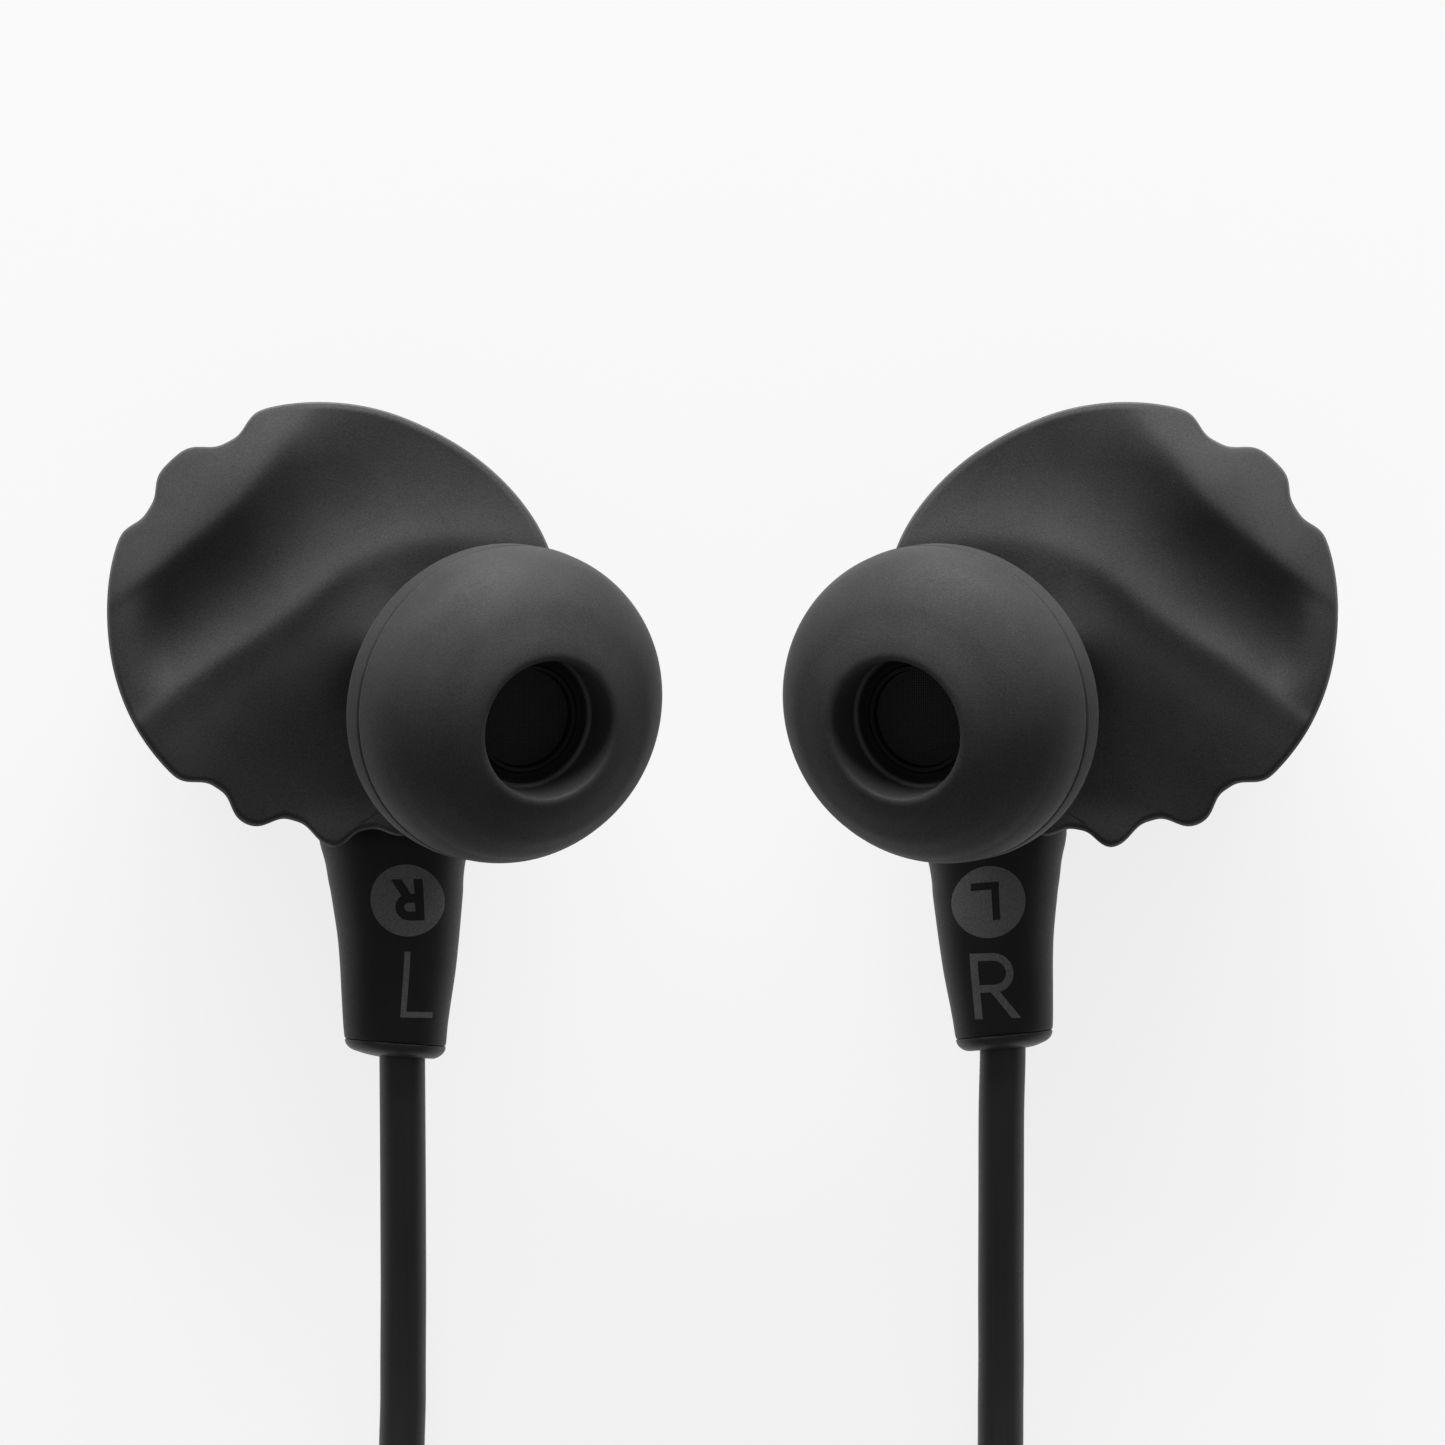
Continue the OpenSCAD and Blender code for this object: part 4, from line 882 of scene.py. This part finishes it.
def printed_shape(side, x, h, rise, low=-0.06):
    """A print as a closed skin: a grid on the stem and the same grid just inside it."""
    rows, cols = x.shape
    top, bottom = (printed(side, x, h, r).reshape(-1, 3) for r in (rise, low))
    quads = grid_quads(rows, cols)
    n = rows * cols
    edge = np.concatenate([np.arange(cols), np.arange(1, rows) * cols + cols - 1,
                           (rows - 1) * cols + np.arange(cols - 2, -1, -1),
                           np.arange(rows - 2, 0, -1) * cols])
    after = np.roll(edge, -1)
    wall = np.stack([edge, edge + n, after + n, after], -1)
    return np.concatenate([top, bottom]), np.concatenate([quads, quads[:, ::-1] + n, wall])


def round_patch(x, h, half_x, half_h, n=25):
    """A disc as a square grid, drawn out so that the square's edge becomes the circle: each way
    across is shortened by the root of 1 less half the square of the other."""
    u, v = np.meshgrid(np.linspace(-1, 1, n), np.linspace(-1, 1, n))
    return x + half_x * u * np.sqrt(1 - v**2 / 2), h + half_h * v * np.sqrt(1 - u**2 / 2)


def stroke(points, width, across=5):
    """A pen stroke as a grid: a line with its width across it."""
    line = even_steps(np.asarray(points, float), 0.12)
    ahead = heading(line)
    side = np.stack([-ahead[:, 1], ahead[:, 0]], -1)
    f = np.linspace(-0.5, 0.5, across)[None, :, None] * width
    return line[:, None] + side[:, None] * f


def bowed(x0, y0, x1, y1, n=14):
    """A letter's bowl: out from a stem, half round and back."""
    r = (y0 - y1) / 2
    a = np.linspace(math.pi / 2, -math.pi / 2, n)
    arc = np.stack([x1 - r + r * np.cos(a), (y0 + y1) / 2 + r * np.sin(a)], -1)
    return np.concatenate([[[x0, y0]], arc, [[x0, y1]]])


def letter(which, width, height, pen):
    """The side letter L or R as pen strokes in a box of that width and height round its middle."""
    x0, x1, y0, y1 = -width / 2 + pen / 2, width / 2 - pen / 2, -height / 2, height / 2
    stem = stroke([[x0, y0], [x0, y1]], pen)
    if which == "L":
        return [stem, stroke([[x0 - pen / 2, y0 + pen / 2], [width / 2, y0 + pen / 2]], pen)]
    middle, bowl = y0 + height * 0.46, x1 - width * 0.06
    foot = width * 0.36
    leg = np.linspace(0, 1, 9)[:, None] * [x1 - x0 - foot, y0 - middle] + [x0 + foot, middle]
    leg = leg[:, None] + np.linspace(-0.6, 0.6, 5)[None, :, None] * [pen, 0]
    return [stem, stroke(bowed(x0, y1 - pen / 2, bowl, middle), pen), leg]


# The printed marks: how many times as high as the disc the letter on it stands, the disc's half
# sizes, its place across the stem and from its pivot, and for the letter below it and the one
# cut out of it: place, box, pen and turn in degrees
CUT_RISE = 2.2
DISC_HALF = (1.45, 1.41)
SIDE_MARKS = {
    LEFT: {"disc": (0.44, 7.27), "letter": ((0.865, 10.58), (1.25, 2.58), 0.23, -1.6),
           "cut": ((0.48, 7.25), (1.2, 1.62), 0.35, 180.0)},
    RIGHT: {"disc": (0.30, 7.32), "letter": ((0.22, 10.61), (1.78, 2.58), 0.3, -0.3),
            "cut": ((0.43, 7.3), (1.1, 1.5), 0.29, 182.5)},
}


class EARPHONES_OT_stems(bpy.types.Operator):
    """Adds the stems with their parted ends and the printed left and right marks"""
    bl_idname = "earphones.stems"
    bl_label = "Stems"

    def execute(self, context):
        skin = moulded("stem skin", colours().shell, 0.5, height=0.003, Specular_IOR_Level=0.25)
        tail = moulded("stem tail skin", colours().cord, 0.45, height=0.003,
                       Specular_IOR_Level=0.35)
        ink = moulded("print ink", colours().print_grey, 0.5, height=0.002, Specular_IOR_Level=0.3)
        for side, word in SIDES:
            length, dip = STEMS[side][2], PARTING_DIP[side]
            last = length - STEM_END
            plain = np.linspace(STEM_PROFILE[0][0], last - 0.35, 76)
            h = np.concatenate([plain, [last - 0.2, last - 0.1, last - 0.03, last]])
            inset = np.concatenate([0 * plain, [0, 0.005, 0.02, 0.06]])
            across, high, bow = stem_half(side, h)
            bent = dip * soft_step((h - last + 0.8) / 0.8)
            rings = stem_rings(side, np.stack([h, across - inset, high - inset, bent, bow], -1))
            points, quads = closed_rings(np.concatenate([stem_root(rings[0]), rings]))
            add_piece(f"{word}_stem_skin", on_side(side, points), quads, skin,
                      replaces=(f"{word}_stem",), sharp=50)
            w, end_bow = float(across[-1]), float(bow[-1])
            b = np.radians(np.linspace(4, 90, 14))
            start, deep = last + 0.02, length - last + 0.03
            h = np.concatenate([[last + 0.005, start], start + deep * np.sin(b),
                                [length - 0.05, length - 0.3]])
            r = np.concatenate([[w - 0.07, w - 0.03], 0.98 + (w - 0.99) * np.cos(b) ** 0.75,
                                [0.95, 0.93]])
            rest = np.clip((r - 1) / 0.5, 0, 1)
            off = CORD_OFF[side] + (end_bow - CORD_OFF[side]) * rest
            points, quads = closed_rings(stem_rings(side, np.stack([h, r, r, dip * rest, off], -1)))
            add_piece(f"{word}_stem_tail", on_side(side, points), quads, tail,
                      replaces=(f"{word}_stem_end",), sharp=50)
        self.marks(ink, skin)
        return {"FINISHED"}

    def marks(self, ink, skin):
        """Prints the disc with the other side's letter in it, and the own letter below it."""
        rise = sizes().mark_height / MM
        for side, word in SIDES:
            own, other = ("L", "R") if side == LEFT else ("R", "L")
            marks = SIDE_MARKS[side]
            disc = printed_shape(side, *round_patch(*marks["disc"], *DISC_HALF), rise)
            add_piece(f"{word}_mark_disc", on_side(side, disc[0]), disc[1], ink,
                      sharp=20)
            for name, which, lift, used in (("letter", own, rise, ink),
                                            ("cut", other, rise * CUT_RISE, skin)):
                (x0, h0), box, pen, turn = marks[name]
                turn = math.radians(turn)
                parts = []
                for g in letter(which, *box, pen):
                    # a letter reads with the cord below it, and on the right stem it is drawn
                    # turned over, so that it comes out the right way round on the mirror image
                    x, y = rotate(g[..., 0], g[..., 1], turn)
                    parts.append(printed_shape(side, x0 - side * x, h0 - y, lift))
                points, quads = join_parts(parts)
                add_piece(f"{word}_mark_{name}", on_side(side, points), quads, used,
                          sharp=20)


# ---------- what the CAD solids wear ----------

class EARPHONES_OT_inner_parts(bpy.types.Operator):
    """Gives the shells, drivers, boards, wires, meshes, splitter, ties and plug their finishes"""
    bl_idname = "earphones.inner_parts"
    bl_label = "Shells, drivers and fittings"

    def execute(self, context):
        shell = moulded("shell plastic", colours().shell, 0.55, height=0.004,
                        Specular_IOR_Level=0.25)
        wears = {
            "front_shell": shell, "back_shell": shell,
            "back_cover": moulded("cover plastic", colours().shell, 0.5, grain=5200,
                                  height=0.01),
            "nozzle_mesh": wire_cloth("nozzle wire cloth", (0.045, 0.045, 0.048), 0.14),
            "driver_grille": brushed("grille steel", (0.55, 0.55, 0.56), 0.35),
            "diaphragm": moulded("diaphragm film", (0.5, 0.42, 0.28), 0.3, height=0.003,
                                 Coat_Weight=0.3),
            "voice_coil": wound("voice coil copper", (0.75, 0.32, 0.12), 0.08),
            "driver_frame": moulded("driver frame plastic", (0.16, 0.16, 0.17), 0.5),
            "top_plate": brushed("plate steel", (0.5, 0.5, 0.52), 0.32, (14, 1, 1)),
            "magnet": brushed("magnet plating", (0.42, 0.42, 0.45), 0.28),
            "yoke": brushed("yoke steel", (0.5, 0.5, 0.52), 0.36, (1, 14, 1)),
            "terminal_board": moulded("board laminate", (0.05, 0.22, 0.09), 0.45, grain=4000,
                                      height=0.01),
            "cord_crimp": brushed("crimp brass", (0.72, 0.5, 0.2), 0.3),
            "lead_wires": moulded("wire enamel", (0.5, 0.06, 0.04), 0.35, height=0.002,
                                  Coat_Weight=0.4),
        }
        for part, finish in wears.items():
            for _, word in SIDES:
                self.dress(f"{word}_{part}", finish)
        rubber = moulded("overmould rubber", colours().cord, 0.55, height=0.006)
        strap = strap_cloth("strap pile", (0.02, 0.02, 0.022))
        plating = brushed("contact plating", (0.75, 0.6, 0.32), 0.2, (1, 14, 1))
        for name, finish in {
            "splitter_lower": rubber, "splitter_upper": rubber, "plug_boot": rubber,
            "left_coil_tie": strap, "right_coil_tie": strap, "main_coil_tie": strap,
            "plug_sleeve": plating, "plug_ring": plating, "plug_tip": plating,
            "plug_insulators": moulded("insulator nylon", (0.02, 0.02, 0.02), 0.35,
                                       height=0.002),
        }.items():
            self.dress(name, finish)
        return {"FINISHED"}

    def dress(self, node, finish):
        """Puts a finish on a CAD node."""
        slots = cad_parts[node].material_slots
        if not slots:
            raise RuntimeError(f"{node} has no material slot")
        for slot in slots:
            slot.link = "OBJECT"
            slot.material = finish


# ---------- stage ----------

# In metres: the table's half width, its level, and the lamp's distance, height, width and depth
TABLE_HALF, TABLE_Z = 2.5, -0.00002
LAMP_Y, LAMP_Z, LAMP_SIZE = 0.61, 0.19, (0.8, 0.3)
TABLE_LINES = 24
# Grey of the table as pieces see it and as the camera sees it, and the part of it that glows
DIM_GREY, PALE_GREY, GLOW = 0.5, 0.85, 0.82
# The surroundings go from their level at the first height to the top level at the second
SKY_FROM, SKY_TO, SKY_TOP = 0.05, 0.9, 0.27


class EARPHONES_OT_stage(bpy.types.Operator):
    """Adds the pale table, the soft lamp over the buds and the surroundings"""
    bl_idname = "earphones.stage"
    bl_label = "Stage"

    def execute(self, context):
        settings = context.scene.earphones_stage
        span = np.linspace(-TABLE_HALF, TABLE_HALF, TABLE_LINES)
        x, y = np.meshgrid(span, span)
        mesh = bpy.data.meshes.new("table")
        mesh.from_pydata(np.stack([x, y, 0 * x + TABLE_Z], -1).reshape(-1, 3).tolist(), [],
                         grid_quads(TABLE_LINES, TABLE_LINES).tolist())
        table = bpy.data.objects.new("table", mesh)
        context.scene.collection.objects.link(table)
        mesh.materials.append(self.table_paint())

        lamp_data = bpy.data.lights.new("soft lamp", "AREA")
        lamp_data.energy = settings.lamp_power
        lamp_data.shape = "RECTANGLE"
        lamp_data.size, lamp_data.size_y = LAMP_SIZE
        lamp = bpy.data.objects.new("soft lamp", lamp_data)
        context.scene.collection.objects.link(lamp)
        lamp.location = (0, LAMP_Y, LAMP_Z)
        lamp.rotation_euler = (-math.atan2(LAMP_Y, LAMP_Z), 0, 0)

        context.scene.world = self.surroundings(settings.world_level)
        context.scene.view_settings.view_transform = "Standard"
        return {"FINISHED"}

    def surroundings(self, level):
        """A white world whose brightness goes from its level near the horizon to more overhead, in
        step with the height looked at."""
        world = bpy.data.worlds.new("surroundings")
        nodes = Nodes(world)
        way = nodes.add("ShaderNodeTexCoord").outputs["Generated"]
        up = nodes.add("ShaderNodeSeparateXYZ", {0: way}).outputs["Z"]
        fade = nodes.add("ShaderNodeMapRange", {"Value": up, "From Min": SKY_FROM,
                                                "From Max": SKY_TO, "To Min": level,
                                                "To Max": SKY_TOP})
        back = nodes.tree.nodes["Background"]
        nodes.put(back, "Strength", fade.outputs["Result"])
        nodes.put(back, "Color", (1, 1, 1, 1))
        return world

    def table_paint(self):
        """Pale paint, which the camera and shiny pieces see brightened almost to white, so that it
        still takes the pair's shadow."""
        material = bpy.data.materials.new("table paint")
        nodes = Nodes(material)
        nodes.tree.nodes.remove(nodes.tree.nodes["Principled BSDF"])
        dim, pale = (nodes.add("ShaderNodeBsdfDiffuse", {"Color": (grey, grey, grey, 1)}).outputs[0]
                     for grey in (DIM_GREY, PALE_GREY))
        glow = nodes.add("ShaderNodeEmission").outputs[0]
        rays = nodes.add("ShaderNodeLightPath").outputs
        seen = nodes.math("MAXIMUM", rays["Is Camera Ray"], rays["Is Glossy Ray"])
        seen = nodes.math("MAXIMUM", seen, rays["Is Transmission Ray"])
        bright = nodes.add("ShaderNodeMixShader", {0: GLOW, 1: pale, 2: glow}).outputs[0]
        paint = nodes.add("ShaderNodeMixShader", {0: seen, 1: dim, 2: bright}).outputs[0]
        nodes.put(nodes.tree.nodes["Material Output"], "Surface", paint)
        return material


class EARPHONES_PT_panel(bpy.types.Panel):
    """The settings and the pieces, in the order in which they are built"""
    bl_label = "Wired earphones"
    bl_idname = "EARPHONES_PT_panel"
    bl_space_type = "VIEW_3D"
    bl_region_type = "UI"
    bl_category = "Earphones"

    def draw(self, context):
        for group in (context.scene.earphones_sizes, context.scene.earphones_colours,
                      context.scene.earphones_stage):
            for key in group.__annotations__:
                self.layout.prop(group, key)
        for operator in BUILD_ORDER:
            self.layout.operator(operator.bl_idname)


BUILD_ORDER = (EARPHONES_OT_camera, EARPHONES_OT_cords, EARPHONES_OT_sleeves, EARPHONES_OT_tips,
               EARPHONES_OT_stems, EARPHONES_OT_inner_parts, EARPHONES_OT_stage)
GROUPS = {"earphones_sizes": EARPHONES_PG_sizes, "earphones_colours": EARPHONES_PG_colours,
          "earphones_stage": EARPHONES_PG_stage}


def register():
    for cls in (*GROUPS.values(), *BUILD_ORDER, EARPHONES_PT_panel):
        bpy.utils.register_class(cls)
    for name, group in GROUPS.items():
        setattr(bpy.types.Scene, name, bpy.props.PointerProperty(type=group))


def unregister():
    for name in GROUPS:
        delattr(bpy.types.Scene, name)
    for cls in reversed((*GROUPS.values(), *BUILD_ORDER, EARPHONES_PT_panel)):
        bpy.utils.unregister_class(cls)


def main():
    """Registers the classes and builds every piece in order."""
    register()
    for operator in BUILD_ORDER:
        getattr(bpy.ops.earphones, operator.bl_idname.split(".")[1])()
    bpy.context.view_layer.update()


if __name__ == "__main__":
    main()
